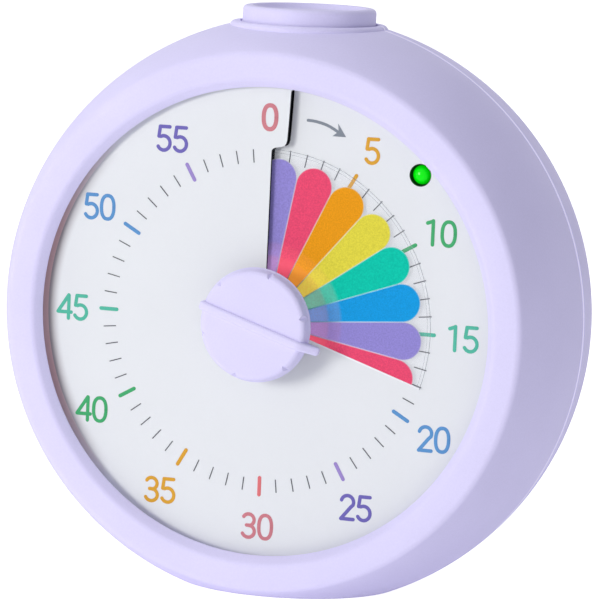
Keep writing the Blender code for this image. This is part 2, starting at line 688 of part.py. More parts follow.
def make_knob():
    face_edge = rounded((KNOB_FACE_R - KNOB_EDGE_ROUND, KNOB_FACE_Z), (KNOB_FACE_R, KNOB_FACE_Z),
                        (KNOB_FACE_R + KNOB_TAPER, KNOB_FACE_Z - KNOB_EDGE_ROUND))
    knob = turned("knob", [(0, KNOB_FACE_Z)] + face_edge + [
        (KNOB_SKIRT_R, KNOB_SKIRT_Z), (KNOB_STEM_R, KNOB_SKIRT_Z - FIT), (KNOB_STEM_R, KNOB_STEM_Z),
        (0, KNOB_STEM_Z)], steps=FACE_STEPS)
    knob.rotation_euler = (0, 0, -math.radians(KNOB_ANGLE))
    ridge = [(-KNOB_FACE_R, KNOB_SKIRT_Z + FIT), (POINTER_R, KNOB_SKIRT_Z + FIT), (POINTER_R, KNOB_SKIRT_Z + 2 * FIT),
             (KNOB_FACE_R + FIT, KNOB_TOP_Z), (-KNOB_FACE_R + RIB_HEIGHT, KNOB_TOP_Z)]
    # The rib's side view lies in the plane of the knob's axis and the pointer.
    rib = plate("knob_rib", [ridge], -RIB_WIDTH / 2, RIB_WIDTH / 2,
                turn=Matrix(((0, 0, 1), (1, 0, 0), (0, 1, 0))).to_euler())
    rib.rotation_euler = (Matrix.Rotation(-math.radians(KNOB_ANGLE), 3, 'Z')
                          @ rib.rotation_euler.to_matrix()).to_euler()
    join(knob, rib)
    cut(knob, rod("knob_socket", SHAFT_R + FIT, KNOB_STEM_Z - GRIP, KNOB_SOCKET_Z, turn=(0, 0, 0.1)))
    for number in range(NOTCHES):
        angle = KNOB_ANGLE + (number + 0.5) * 360 / NOTCHES
        cut(knob, notch_cutter("knob_notch_%d" % (number + 1), angle))
    return finish(smooth(knob), (0.74, 0.70, 0.95), 0.42)


def notch_cutter(name, angle):
    """A three-sided prism whose sharp edge points at the knob's axis."""
    outer = KNOB_SKIRT_R + GRIP
    inner = KNOB_SKIRT_R - NOTCH_DEPTH
    half = NOTCH_WIDTH / 2 * (outer - inner) / NOTCH_DEPTH
    return plate(name, [[(0, inner), (half, outer), (-half, outer)]], KNOB_SKIRT_Z - GRIP, KNOB_TOP_Z + GRIP,
                 turn=(0, 0, -math.radians(angle)))


def make_knob_shaft():
    collar_top = MAIN_GEAR_Z - GEAR_THICK - FIT
    collar_low = collar_top - CASE_WALL
    shoulder = CASE_BACK + CASE_WALL + FIT
    shaft = turned("knob_shaft", [
        (0, KNOB_SOCKET_Z - FIT), (SHAFT_R, KNOB_SOCKET_Z - FIT), (SHAFT_R, collar_top),
        (SHAFT_COLLAR_R, collar_top), (SHAFT_COLLAR_R, collar_low), (SHAFT_R, collar_low),
        (SHAFT_R, shoulder), (JOURNAL_R, shoulder), (JOURNAL_R, CASE_BACK + FIT), (0, CASE_BACK + FIT)],
        steps=SMALL_STEPS)
    return finish(smooth(shaft), (0.85, 0.85, 0.85), 0.4)


# Chassis and clockwork

MIDDLE_AXIS = clock(GEAR_MODULE * (MAIN_TEETH + PINION_TEETH) / 2, WHEEL_ANGLE)
ROTOR_STEP = clock(GEAR_MODULE * (WHEEL_TEETH + PINION_TEETH) / 2, ROTOR_ANGLE)
ROTOR_AXIS = (MIDDLE_AXIS[0] + ROTOR_STEP[0], MIDDLE_AXIS[1] + ROTOR_STEP[1], 0)
COIL_X = ROTOR_AXIS[0] + ROTOR_R + COIL_SPACE + COIL_R
MAIN_TIP_R = GEAR_MODULE * (MAIN_TEETH / 2 + TIP_SHARE)
WHEEL_TIP_R = GEAR_MODULE * (WHEEL_TEETH / 2 + TIP_SHARE)
CASE_LEFT = MIDDLE_AXIS[0] - WHEEL_TIP_R - CASE_CLEAR - CASE_WALL
CASE_RIGHT = MAIN_TIP_R + CASE_CLEAR + CASE_WALL
CASE_BOTTOM = ROTOR_AXIS[1] - ROTOR_R - STATOR_SIDE - CASE_CLEAR - CASE_WALL
CASE_TOP = MAIN_TIP_R + CASE_CLEAR + CASE_WALL
EARS = ((CASE_LEFT, LEFT_EAR_UP, -1), (CASE_RIGHT, RIGHT_EAR_UP, 1))


def make_chassis():
    chassis = rod("chassis_plate", CHASSIS_R, CHASSIS_BACK, CHASSIS_Z, steps=ROUND_STEPS)
    cut(chassis, rod("chassis_shaft_hole", SHAFT_R + FIT, CHASSIS_BACK - GRIP, CHASSIS_Z + GRIP))
    for number, angle in enumerate(POST_ANGLES, 1):
        join(chassis, rod("chassis_post_%d" % number, POST_R, SEAM_Z + SEAM_GAP / 2, CHASSIS_BACK + GRIP,
                          steps=14, at=clock(POST_CIRCLE_R, angle)))
    for number, (x, y) in enumerate(BOARD_POSTS, 1):
        join(chassis, rod("chassis_board_post_%d" % number, BOSS_R, CHASSIS_BACK - BOARD_STANDOFF,
                          CHASSIS_BACK + GRIP, steps=10, at=(x, y, 0)))
    holes = [(clock(LED_DIAL_R, LED_ANGLE), LED_R + FIT)]
    holes += [(clock(BOSS_CIRCLE_R, angle), SCREW_R + FIT) for angle in BOSS_ANGLES]
    holes += [((x + side * EAR_REACH / 2, y, 0), SCREW_R + FIT) for x, y, side in EARS]
    holes += [(MIDDLE_AXIS, ARBOR_R + FIT), (ROTOR_AXIS, ARBOR_R + FIT)]
    for number, (at, radius) in enumerate(holes, 1):
        cut(chassis, rod("chassis_hole_%d" % number, radius, CHASSIS_BACK - GRIP, CHASSIS_Z + GRIP,
                         steps=10, at=at))
    for number, (x, y) in enumerate(BOARD_POSTS, 1):
        cut(chassis, rod("chassis_board_pilot_%d" % number, SCREW_R + FIT, CHASSIS_BACK - BOARD_STANDOFF - GRIP,
                         CHASSIS_Z - FIT, steps=10, at=(x, y, 0)))
    for number, angle in enumerate(POST_ANGLES, 1):
        cut(chassis, rod("chassis_post_pilot_%d" % number, SCREW_R + FIT, SEAM_Z - GRIP, SEAM_Z + POST_PILOT,
                         steps=10, at=clock(POST_CIRCLE_R, angle)))
    # a flat at the top, clear of the pressed button's flange
    flat_up = BUTTON_SKIRT_BOTTOM - BUTTON_TRAVEL - FIT
    cut(chassis, box("chassis_flat", (-BUTTON_R, BUTTON_R), (flat_up, CHASSIS_R + GRIP),
                     (CHASSIS_BACK - GRIP, CHASSIS_Z + GRIP)))
    return finish(smooth(chassis), (0.10, 0.10, 0.12), 0.5)


def make_movement_case():
    """An open-fronted box that holds the clockwork against the chassis."""
    bm = bmesh.new()
    size = (CASE_RIGHT - CASE_LEFT, CASE_TOP - CASE_BOTTOM, CASE_DEPTH)
    middle = ((CASE_RIGHT + CASE_LEFT) / 2, (CASE_TOP + CASE_BOTTOM) / 2, CASE_FRONT - CASE_DEPTH / 2)
    bmesh.ops.create_cube(bm, size=1.0, matrix=Matrix.Translation(middle) @ Matrix.Diagonal((*size, 1)))
    front = [face for face in bm.faces if face.normal.z > 0.5]
    bmesh.ops.delete(bm, geom=front, context='FACES_ONLY')
    case = from_bmesh("movement_case", bm)
    shell = case.modifiers.new("Walls", 'SOLIDIFY')
    shell.thickness = CASE_WALL
    shell.offset = -1
    shell.use_even_offset = True
    for number, (x, y, side) in enumerate(EARS, 1):
        tip = x + side * EAR_REACH
        root = x - side * CASE_WALL / 2
        ear = box("case_ear_%d" % number, (min(tip, root), max(tip, root)), (y - POST_R, y + POST_R),
                  (CASE_FRONT - CASE_WALL, CASE_FRONT))
        join(case, ear)
        cut(case, rod("case_ear_hole_%d" % number, SCREW_R + FIT, CASE_FRONT - 2 * CASE_WALL, CASE_FRONT + GRIP,
                      steps=10, at=(x + side * EAR_REACH / 2, y, 0)))
    bearings = (((0, 0, 0), JOURNAL_R), (MIDDLE_AXIS, ARBOR_R), (ROTOR_AXIS, ARBOR_R))
    for number, (at, radius) in enumerate(bearings, 1):
        cut(case, rod("case_bearing_%d" % number, radius + FIT, CASE_BACK - GRIP, CASE_BACK + 2 * CASE_WALL,
                      steps=16, at=at))
    return finish(smooth(case), (0.25, 0.25, 0.27), 0.5)


def gear_loop(teeth, phase):
    """Outline of a gear with tapered teeth, thin enough to run free."""
    pitch_r = GEAR_MODULE * teeth / 2
    tip_r = pitch_r + TIP_SHARE * GEAR_MODULE
    root_r = pitch_r - ROOT_SHARE * GEAR_MODULE
    half_pitch = math.pi / teeth
    points = []
    for tooth in range(teeth):
        middle = phase + 2 * half_pitch * tooth
        for radius, share in ((root_r, -TOOTH_FOOT), (tip_r, -TOOTH_TIP), (tip_r, TOOTH_TIP), (root_r, TOOTH_FOOT)):
            turn = middle + share * half_pitch
            points.append((radius * math.cos(turn), radius * math.sin(turn)))
    return points


def mesh_phase(teeth, line, driver_phase, driver_teeth):
    """Phase that puts a gap of this gear on a tooth of its driver.

    The line is the direction from the driver's axis to this one, anticlockwise from x."""
    driver_offset = (line - driver_phase) * driver_teeth
    return line + math.pi + math.pi / teeth + driver_offset / teeth


def line_angle(start, end):
    return math.atan2(end[1] - start[1], end[0] - start[0])


FIRST_LINE = line_angle((0, 0), MIDDLE_AXIS)
SECOND_LINE = line_angle(MIDDLE_AXIS, ROTOR_AXIS)
MIDDLE_PHASE = mesh_phase(PINION_TEETH, FIRST_LINE, 0.0, MAIN_TEETH)
ROTOR_PHASE = mesh_phase(PINION_TEETH, SECOND_LINE, 0.0, WHEEL_TEETH)


def make_main_gear():
    bore = circle(SHAFT_R + FIT, 20)
    gear = plate("main_gear", [gear_loop(MAIN_TEETH, 0.0), bore], MAIN_GEAR_Z - GEAR_THICK, MAIN_GEAR_Z)
    return finish(smooth(gear), (0.85, 0.83, 0.76), 0.45)


def make_middle_gear():
    low = WHEEL_Z - GEAR_THICK
    gear = plate("middle_gear", [gear_loop(WHEEL_TEETH, 0.0)], low, WHEEL_Z, at=MIDDLE_AXIS)
    pinion = plate("middle_pinion", [gear_loop(PINION_TEETH, MIDDLE_PHASE)], WHEEL_Z - GEAR_THICK / 2,
                   MAIN_GEAR_Z + FIT, at=MIDDLE_AXIS)
    arbor = rod("middle_arbor", ARBOR_R, CASE_BACK + FIT, CHASSIS_Z - FIT, steps=16, at=MIDDLE_AXIS)
    join(gear, pinion, arbor)
    return finish(smooth(gear), (0.85, 0.83, 0.76), 0.45)


def make_rotor():
    """The motor's rotor: a magnet, a pinion and their arbor."""
    magnet_low = CASE_BACK + CASE_WALL + FIT
    magnet_top = magnet_low + GEAR_THICK + 2 * FIT
    rotor = rod("motor_rotor", ROTOR_R, magnet_low, magnet_top, at=ROTOR_AXIS)
    pinion = plate("rotor_pinion", [gear_loop(PINION_TEETH, ROTOR_PHASE)], magnet_top - FIT,
                   WHEEL_Z + FIT, at=ROTOR_AXIS)
    arbor = rod("rotor_arbor", ARBOR_R, CASE_BACK + FIT, CHASSIS_Z - FIT, steps=16, at=ROTOR_AXIS)
    join(rotor, pinion, arbor)
    return finish(smooth(rotor), (0.30, 0.30, 0.32), 0.45)


def make_stator():
    """The lamination round the rotor, on the back wall of the movement case."""
    low = CASE_BACK + CASE_WALL + FIT
    left = ROTOR_AXIS[0] - ROTOR_R - STATOR_TAIL
    right = COIL_X + COIL_R
    half = ROTOR_R + STATOR_SIDE
    flat = half - STATOR_CORNER
    y = ROTOR_AXIS[1]
    outline = [(left + STATOR_CORNER, y - half), (right, y - half), (right, y + half),
               (left + STATOR_CORNER, y + half), (left, y + flat), (left, y - flat)]
    hole = circle(ROTOR_R + FIT, SMALL_STEPS, ROTOR_AXIS)
    stator = plate("motor_stator", [outline, hole], low, low + GEAR_THICK)
    return finish(stator, (0.45, 0.45, 0.47), 0.4, 0.9)


def make_coil():
    """The wound bobbin that lies on the lamination."""
    low = CASE_BACK + CASE_WALL + 2 * FIT + GEAR_THICK
    half = COIL_LENGTH / 2
    inner = half - COIL_CHEEK
    wound_r = COIL_R - FIT
    coil = turned("motor_coil", [
        (0, half), (COIL_R, half), (COIL_R, inner), (wound_r, inner),
        (wound_r, -inner), (COIL_R, -inner), (COIL_R, -half), (0, -half)],
        steps=SMALL_STEPS, at=(COIL_X, ROTOR_AXIS[1], low + COIL_R), turn=(math.pi / 2, 0, 0))
    return finish(smooth(coil), (0.60, 0.30, 0.12), 0.4)


# Electronics

def make_board():
    start = math.asin((CASE_TOP + BOARD_GAP) / BOARD_R)
    steps = 20
    turns = [start + (math.pi - 2 * start) * k / steps for k in range(steps + 1)]
    outline = [(BOARD_R * math.cos(t), BOARD_R * math.sin(t)) for t in turns]
    holes = [circle(SCREW_R + FIT, 10, post) for post in BOARD_POSTS]
    holes += [circle(LED_WIRE_R + FIT, 8, wire) for wire in led_wires()]
    board = plate("circuit_board", [outline] + holes, BOARD_Z - BOARD_THICK, BOARD_Z)
    for number, angle in enumerate(POST_ANGLES, 1):
        if clock(POST_CIRCLE_R, angle)[1] > 0:
            cut(board, rod("board_notch_%d" % number, POST_R + FIT, BOARD_Z - BOARD_THICK - GRIP, BOARD_Z + GRIP,
                           steps=14, at=clock(POST_CIRCLE_R, angle)))
    return finish(board, (0.05, 0.30, 0.14), 0.4)


def led_wires():
    """Where the lamp's two wires cross the board, side by side along the dial's round."""
    x, y, _ = clock(LED_DIAL_R, LED_ANGLE)
    dx, dy, _ = clock(LED_WIRE_SPREAD, LED_ANGLE + 90)
    return [(x + dx, y + dy), (x - dx, y - dy)]


def make_led():
    """A small green lamp whose dome looks out through the dial."""
    x, y, _ = clock(LED_DIAL_R, LED_ANGLE)
    steps = 3
    dome = [(LED_R * math.sin(t), LED_TIP_Z - LED_R + LED_R * math.cos(t))
            for t in (math.pi / 2 * k / steps for k in range(steps + 1))]
    dome[0] = (0, LED_TIP_Z)
    low = LED_TIP_Z - LED_HEIGHT
    led = turned("led_lamp", dome + [(LED_R, low + LED_FLANGE), (LED_FLANGE_R, low + LED_FLANGE),
                                     (LED_FLANGE_R, low), (0, low)], steps=16, at=(x, y, 0))
    for number, (wire_x, wire_y) in enumerate(led_wires(), 1):
        join(led, rod("led_wire_%d" % number, LED_WIRE_R, BOARD_Z - BOARD_THICK - GRIP, low + FIT,
                      steps=6, at=(wire_x, wire_y, 0)))
    return finish(smooth(led), (0.05, 0.85, 0.10), 0.2)


def make_tact_switch():
    half = SWITCH_SIZE / 2
    body = box("tact_switch", (-half, half), (TACT_TOP - SWITCH_HEIGHT, TACT_TOP),
               (PLUNGER_Z - half, PLUNGER_Z + half))
    cut(body, rod("tact_bore", ACTUATOR_R + FIT, TACT_TOP - SWITCH_HEIGHT + 3 * FIT, TACT_TOP + GRIP, steps=20,
                  frame=upright_frame, at=(0, -PLUNGER_Z, 0)))
    return finish(body, (0.12, 0.12, 0.13), 0.4)


def make_tact_plunger():
    low = TACT_TOP - SWITCH_HEIGHT + 4 * FIT + BUTTON_TRAVEL
    plunger = rod("tact_plunger", ACTUATOR_R, low, ACTUATOR_TOP, steps=20,
                  frame=upright_frame, at=(0, -PLUNGER_Z, 0))
    return finish(smooth(plunger), (0.75, 0.15, 0.12), 0.4)


def make_button():
    """The cap: a shallow cup with a catching flange and a stem for the switch."""
    edge = rounded((BUTTON_R - BUTTON_EDGE_ROUND, BUTTON_TOP), (BUTTON_R, BUTTON_TOP),
                   (BUTTON_R, BUTTON_TOP - BUTTON_EDGE_ROUND))
    flange_top = BUTTON_SKIRT_BOTTOM + BUTTON_WALL
    inner = BUTTON_R - BUTTON_WALL
    ceiling = BUTTON_TOP - BUTTON_DISH - BUTTON_WALL
    profile = [(0, BUTTON_TOP - BUTTON_DISH), (BUTTON_R - 2 * BUTTON_EDGE_ROUND, BUTTON_TOP - BUTTON_DISH / 2)]
    profile += edge + [(BUTTON_R, flange_top), (BUTTON_R + BUTTON_FLANGE, flange_top),
                       (BUTTON_R + BUTTON_FLANGE, BUTTON_SKIRT_BOTTOM), (inner, BUTTON_SKIRT_BOTTOM),
                       (inner, ceiling), (0, ceiling)]
    cap = turned("button_cap", profile, steps=FACE_STEPS, frame=upright_frame, at=(0, -SEAM_Z, 0))
    stem = rod("button_stem", ACTUATOR_R, ACTUATOR_TOP + FIT, ceiling + GRIP / 2, steps=16,
               frame=upright_frame, at=(0, -PLUNGER_Z, 0))
    join(cap, stem)
    return finish(smooth(cap), (0.73, 0.69, 0.94), 0.4)


def make_buzzer():
    top = BUZZER_Z + BUZZER_THICK
    lip = BUZZER_Z + BUZZER_THICK / 3
    buzzer = turned("buzzer", [(0, top), (BUZZER_R - GRIP, top), (BUZZER_R - GRIP, lip), (BUZZER_R, lip),
                               (BUZZER_R, BUZZER_Z), (0, BUZZER_Z)], steps=32, at=(0, BUZZER_UP, 0))
    return finish(smooth(buzzer), (0.10, 0.10, 0.11), 0.45)


def make_rear_board():
    half_x = SLIDER_X + SLIDER_CASE_LENGTH / 2 + GRIP
    half_y = SLIDER_CASE_HEIGHT / 2 + GRIP
    outline = [(-half_x, SLIDER_UP - half_y), (half_x, SLIDER_UP - half_y),
               (half_x, SLIDER_UP + half_y), (-half_x, SLIDER_UP + half_y)]
    holes = [circle(SCREW_R + FIT, 10, (side * REAR_BOSS_X, SLIDER_UP)) for side in (-1, 1)]
    board = plate("rear_board", [outline] + holes, REAR_BOARD_Z, REAR_BOARD_Z + BOARD_THICK)
    return finish(board, (0.05, 0.30, 0.14), 0.4)


def make_slide_switch(name, side):
    """A fixed switch body and the small slider that shows through the back."""
    x = side * SLIDER_X
    half_x = SLIDER_CASE_LENGTH / 2
    half_y = SLIDER_CASE_HEIGHT / 2
    body = box(name + "_switch", (x - half_x, x + half_x), (SLIDER_UP - half_y, SLIDER_UP + half_y),
               (SLIDE_CASE_Z, SLIDE_CASE_TOP))
    room_x = SLIDER_LENGTH / 2 + SLIDER_TRAVEL + FIT
    room_y = SLIDER_HEIGHT / 2 + FIT
    floor = SLIDE_CASE_Z + 2 * CASE_WALL
    cut(body, box(name + "_switch_room", (x - room_x, x + room_x), (SLIDER_UP - room_y, SLIDER_UP + room_y),
                  (SLIDE_CASE_Z - GRIP, floor)))
    finish(body, (0.55, 0.56, 0.58), 0.35, 0.8)
    bm = bmesh.new()
    low = BACK_Z + SLIDER_SUNK
    high = floor - FIT
    size = (SLIDER_LENGTH, SLIDER_HEIGHT, high - low)
    bmesh.ops.create_cube(bm, size=1.0, matrix=Matrix.Translation((0, 0, (high + low) / 2))
                          @ Matrix.Diagonal((*size, 1)))
    slider = from_bmesh(name + "_slider", bm, at=(x, SLIDER_UP, 0))
    bevel = slider.modifiers.new("Edges", 'BEVEL')
    bevel.width = SLIDER_EDGE
    bevel.segments = 1
    return finish(slider, (0.15, 0.15, 0.17), 0.5)


# Batteries and contacts

def make_cell(number, up, side):
    """An AA cell whose nub points left or right."""
    plate_x = BAY_HALF_X - FIT
    tip = plate_x - CONTACT_THICK - FIT
    base = tip - CELL_LENGTH
    shoulder = tip - NUB_LENGTH
    cell = turned("battery_%d" % number, [
        (0, tip), (NUB_R, tip), (NUB_R, shoulder), (CELL_R - CELL_EDGE, shoulder),
        (CELL_R, shoulder - CELL_EDGE), (CELL_R, base + CELL_EDGE), (CELL_R - CELL_EDGE, base), (0, base)],
        steps=SMALL_STEPS, at=(0, up, CELL_Z), turn=(0, side * math.pi / 2, 0))
    finish(smooth(cell), (0.55, 0.42, 0.20), 0.35, 0.4)
    reach = 2 * NUB_R
    contact = box("contact_plate_%d" % number, sorted((side * (plate_x - CONTACT_THICK), side * plate_x)),
                  (up - reach, up + reach), (CELL_Z - reach, CELL_Z + reach))
    finish(contact, (0.70, 0.70, 0.70), 0.3, 1.0)
    return base


def make_contact_spring(number, up, side, cell_base):
    """A short coil between the bay's end wall and the flat end of a cell."""
    start = BAY_HALF_X - FIT - CONTACT_WIRE_R
    end = -cell_base + FIT + CONTACT_WIRE_R
    per_turn = 8
    count = CONTACT_TURNS * per_turn
    curve = bpy.data.curves.new("contact_spring", 'CURVE')
    curve.dimensions = '3D'
    curve.bevel_depth = CONTACT_WIRE_R
    curve.bevel_resolution = 1
    curve.use_fill_caps = True
    spline = curve.splines.new('POLY')
    spline.points.add(count)
    for k, point in enumerate(spline.points):
        turn = 2 * math.pi * k / per_turn
        share = k / count
        radius = CONTACT_WIDE_R + (CONTACT_NARROW_R - CONTACT_WIDE_R) * share
        along = start + (end - start) * share
        point.co = (-side * along, radius * math.cos(turn), radius * math.sin(turn), 1)
    guide = bpy.data.objects.new("contact_spring_%d" % number, curve)
    cutters.objects.link(guide)
    spring = add("contact_spring_%d" % number, mesh_of(guide), at=(0, up, CELL_Z))
    return finish(smooth(spring), (0.75, 0.75, 0.75), 0.3, 1.0)


# Screws

def make_screw(name, at, seat, length, facing):
    """A pan-head screw. Its head lies on the seat and its shank runs against facing."""
    head = seat + facing * SCREW_HEAD
    tip = seat - facing * length
    profile = [(0, head), (SCREW_HEAD_R, head), (SCREW_HEAD_R, seat), (SCREW_R, seat), (SCREW_R, tip), (0, tip)]
    screw = turned(name, profile if facing > 0 else profile[::-1], steps=8, at=at)
    return finish(smooth(screw), (0.62, 0.62, 0.64), 0.35, 1.0)


def make_screws():
    seat = BACK_Z + COVER_SINK - FIT
    length = SEAM_Z + POST_PILOT - FIT - seat
    for number, angle in enumerate(POST_ANGLES, 1):
        make_screw("cover_screw_%d" % number, clock(POST_CIRCLE_R, angle), seat, length, -1)
    for number, angle in enumerate(BOSS_ANGLES, 1):
        make_screw("chassis_screw_%d" % number, clock(BOSS_CIRCLE_R, angle), CHASSIS_BACK - FIT,
                   CHASSIS_THICK + LIP_DEPTH + FIT, -1)
    for number, (x, y, side) in enumerate(EARS, 1):
        make_screw("movement_screw_%d" % number, (x + side * EAR_REACH / 2, y, 0),
                   CASE_FRONT - CASE_WALL - FIT, CASE_WALL + CHASSIS_THICK, -1)
    for number, (x, y) in enumerate(BOARD_POSTS, 1):
        make_screw("board_screw_%d" % number, (x, y, 0), BOARD_Z - BOARD_THICK - FIT,
                   BOARD_THICK + BOARD_STANDOFF + FIT, -1)
    for number, side in ((1, -1), (2, 1)):
        make_screw("rear_board_screw_%d" % number, (side * REAR_BOSS_X, SLIDER_UP, 0),
                   REAR_BOARD_Z + BOARD_THICK + FIT, BOARD_THICK + REAR_SCREW_REACH, 1)


make_front_housing()
make_rear_cover()
make_battery_door()
make_dial_plate()
make_dial_spacer()
make_rainbow_disc()
make_knob()
make_knob_shaft()
make_chassis()
make_movement_case()
make_main_gear()
make_middle_gear()
make_rotor()
make_stator()
make_coil()
make_board()
make_led()
make_tact_switch()
make_tact_plunger()
make_button()
make_buzzer()
make_rear_board()
make_slide_switch("volume", -1)
make_slide_switch("alarm", 1)
for cell_number, cell_side in ((1, 1), (2, -1)):
    cell_up = BAY_UP + cell_side * CELL_PITCH / 2
    cell_end = make_cell(cell_number, cell_up, cell_side)
    make_contact_spring(cell_number, cell_up, cell_side, cell_end)
make_screws()
bpy.context.view_layer.update()
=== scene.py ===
import json
import math

import bmesh
import bpy
from mathutils import Matrix, Vector


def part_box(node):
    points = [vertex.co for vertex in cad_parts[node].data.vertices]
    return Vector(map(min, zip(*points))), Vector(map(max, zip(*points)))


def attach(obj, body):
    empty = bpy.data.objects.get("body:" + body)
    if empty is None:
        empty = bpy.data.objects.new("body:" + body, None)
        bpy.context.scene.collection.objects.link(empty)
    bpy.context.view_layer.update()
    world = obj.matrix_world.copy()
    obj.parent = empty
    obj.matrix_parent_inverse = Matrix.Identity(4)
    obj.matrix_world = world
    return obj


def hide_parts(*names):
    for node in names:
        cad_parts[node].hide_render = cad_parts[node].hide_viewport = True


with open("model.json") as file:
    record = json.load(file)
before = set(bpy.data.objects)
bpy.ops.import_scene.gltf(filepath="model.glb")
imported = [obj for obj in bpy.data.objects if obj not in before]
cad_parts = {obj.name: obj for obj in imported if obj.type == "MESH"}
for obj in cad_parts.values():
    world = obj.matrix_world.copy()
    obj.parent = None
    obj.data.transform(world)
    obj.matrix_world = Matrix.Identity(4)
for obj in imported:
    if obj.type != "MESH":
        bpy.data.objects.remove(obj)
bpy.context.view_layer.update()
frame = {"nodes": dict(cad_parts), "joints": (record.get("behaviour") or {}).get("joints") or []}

scene = bpy.context.scene
nodes = frame["nodes"]
mm = 0.001

# The dial's middle, and the two frames that the pieces are drawn in:
# x right, y up, z to the viewer for the dial, and z up for the button.
knobAxis = Vector(next(j["pos_m"] for j in frame["joints"] if j["name"] == "knob_turn"))
dialMatrix = Matrix.Translation(knobAxis) @ Matrix.Rotation(math.pi / 2, 4, 'X')

case = {
    "crownR": 46.7037 * mm,      # largest radius, at the seam
    "arcR": 38.4 * mm,           # bulge of the side
    "frontZ": 3.3 * mm,
    "backZ": -34.3 * mm,
    "seamZ": -15.5 * mm,
    "seamGap": 0.3 * mm,
    "wall": 2.0 * mm,
    "footDrop": knobAxis.z,
    "steps": 240,
}
crownMatrix = Matrix.Translation(knobAxis - Vector((0, case["seamZ"], 0)))
print("frame loaded")


# Shapes

def newPiece(name, bm, finish, sharp=35, clean=True):
    if clean:
        bmesh.ops.remove_doubles(bm, verts=bm.verts, dist=0.5e-6)
        bmesh.ops.recalc_face_normals(bm, faces=bm.faces)
    mesh = bpy.data.meshes.new(name)
    bm.to_mesh(mesh)
    bm.free()
    for material in finish if isinstance(finish, (list, tuple)) else [finish]:
        mesh.materials.append(material)
    piece = bpy.data.objects.new(name, mesh)
    scene.collection.objects.link(piece)
    softShade(piece, sharp)
    return piece


def softShade(piece, sharp=35):
    piece.data.shade_smooth()
    piece.data.set_sharp_from_angle(angle=math.radians(sharp))


def softCorners(points, arcSteps=5):
    # a point with a third number is a corner that is rounded to that radius
    path = []
    for index, point in enumerate(points):
        corner = Vector(point[:2])
        if len(point) == 2:
            path.append(corner)
            continue
        before = (Vector(points[index - 1][:2]) - corner).normalized()
        after = (Vector(points[(index + 1) % len(points)][:2]) - corner).normalized()
        half = before.angle(after) / 2
        centre = corner + (before + after).normalized() * (point[2] / math.sin(half))
        start = corner + before * (point[2] / math.tan(half)) - centre
        end = corner + after * (point[2] / math.tan(half)) - centre
        for k in range(arcSteps + 1):
            path.append(centre + start.lerp(end, k / arcSteps).normalized() * point[2])
    return path


def spun(points, matrix=dialMatrix, steps=None, closed=False):
    # a profile of radius and height, turned once about its frame's z
    bm = bmesh.new()
    verts = [bm.verts.new((point[0], 0, point[1])) for point in points]
    edges = [bm.edges.new(pair) for pair in zip(verts, verts[1:])]
    if closed:
        edges.append(bm.edges.new((verts[-1], verts[0])))
    bmesh.ops.spin(bm, geom=verts + edges, cent=(0, 0, 0), axis=(0, 0, 1), dvec=(0, 0, 0),
                   angle=2 * math.pi, steps=steps or case["steps"], use_merge=True)
    bmesh.ops.remove_doubles(bm, verts=bm.verts, dist=0.5e-6)
    bmesh.ops.recalc_face_normals(bm, faces=bm.faces)
    bm.transform(matrix)
    return bm


def block(low, high, matrix=dialMatrix, edge=0.0, segments=2):
    bm = bmesh.new()
    size = [b - a for a, b in zip(low, high)]
    middle = [(a + b) / 2 for a, b in zip(low, high)]
    bmesh.ops.create_cube(bm, size=1, matrix=Matrix.Translation(middle) @ Matrix.Diagonal((*size, 1)))
    if edge:
        bmesh.ops.bevel(bm, geom=bm.edges[:], offset=edge, segments=segments, profile=0.5, affect='EDGES', material=-1)
    bm.transform(matrix)
    return bm


def rod(radius, low, high, matrix=dialMatrix, steps=48, edge=0.0):
    bm = bmesh.new()
    bmesh.ops.create_cone(bm, cap_ends=True, segments=steps, radius1=radius, radius2=radius, depth=high - low,
                          matrix=Matrix.Translation((0, 0, (high + low) / 2)))
    if edge:
        rims = [e for e in bm.edges if len(e.link_faces) == 2 and e.calc_face_angle() > 1]
        bmesh.ops.bevel(bm, geom=rims, offset=edge, segments=2, profile=0.5, affect='EDGES', material=-1)
    bm.transform(matrix)
    return bm


def slab(outline, low, high, matrix=dialMatrix, holes=()):
    # a flat outline between two heights
    curve = bpy.data.curves.new("outline", 'CURVE')
    curve.dimensions = '2D'
    curve.fill_mode = 'BOTH'
    curve.extrude = (high - low) / 2
    for loop in [outline, *holes]:
        spline = curve.splines.new('POLY')
        spline.points.add(len(loop) - 1)
        for point, at in zip(spline.points, loop):
            point.co = (at[0], at[1], 0, 1)
        spline.use_cyclic_u = True
    bm = meshOfCurve(curve)
    bm.transform(matrix @ Matrix.Translation((0, 0, (high + low) / 2)))
    return bm


def meshOfCurve(curve):
    guide = bpy.data.objects.new("guide", curve)
    scene.collection.objects.link(guide)
    bpy.context.view_layer.update()
    depsgraph = bpy.context.evaluated_depsgraph_get()
    mesh = bpy.data.meshes.new_from_object(guide.evaluated_get(depsgraph))
    bm = bmesh.new()
    bm.from_mesh(mesh)
    bmesh.ops.remove_doubles(bm, verts=bm.verts, dist=0.5e-6)
    bmesh.ops.recalc_face_normals(bm, faces=bm.faces)
    bpy.data.objects.remove(guide, do_unlink=True)
    bpy.data.meshes.remove(mesh)
    bpy.data.curves.remove(curve)
    return bm


def carved(bm, *steps):
    # each step is an operation and the bmesh of a tool
    body = toolObject(bm)
    tools = []
    for operation, tool in steps:
        tools.append(toolObject(tool))
        cut = body.modifiers.new("cut", 'BOOLEAN')
        cut.operation = operation
        cut.solver = 'EXACT'
        cut.object = tools[-1]
    bpy.context.view_layer.update()
    depsgraph = bpy.context.evaluated_depsgraph_get()
    mesh = bpy.data.meshes.new_from_object(body.evaluated_get(depsgraph))
    result = bmesh.new()
    result.from_mesh(mesh)
    for item in [body, *tools]:
        bpy.data.objects.remove(item, do_unlink=True)
    bpy.data.meshes.remove(mesh)
    return result


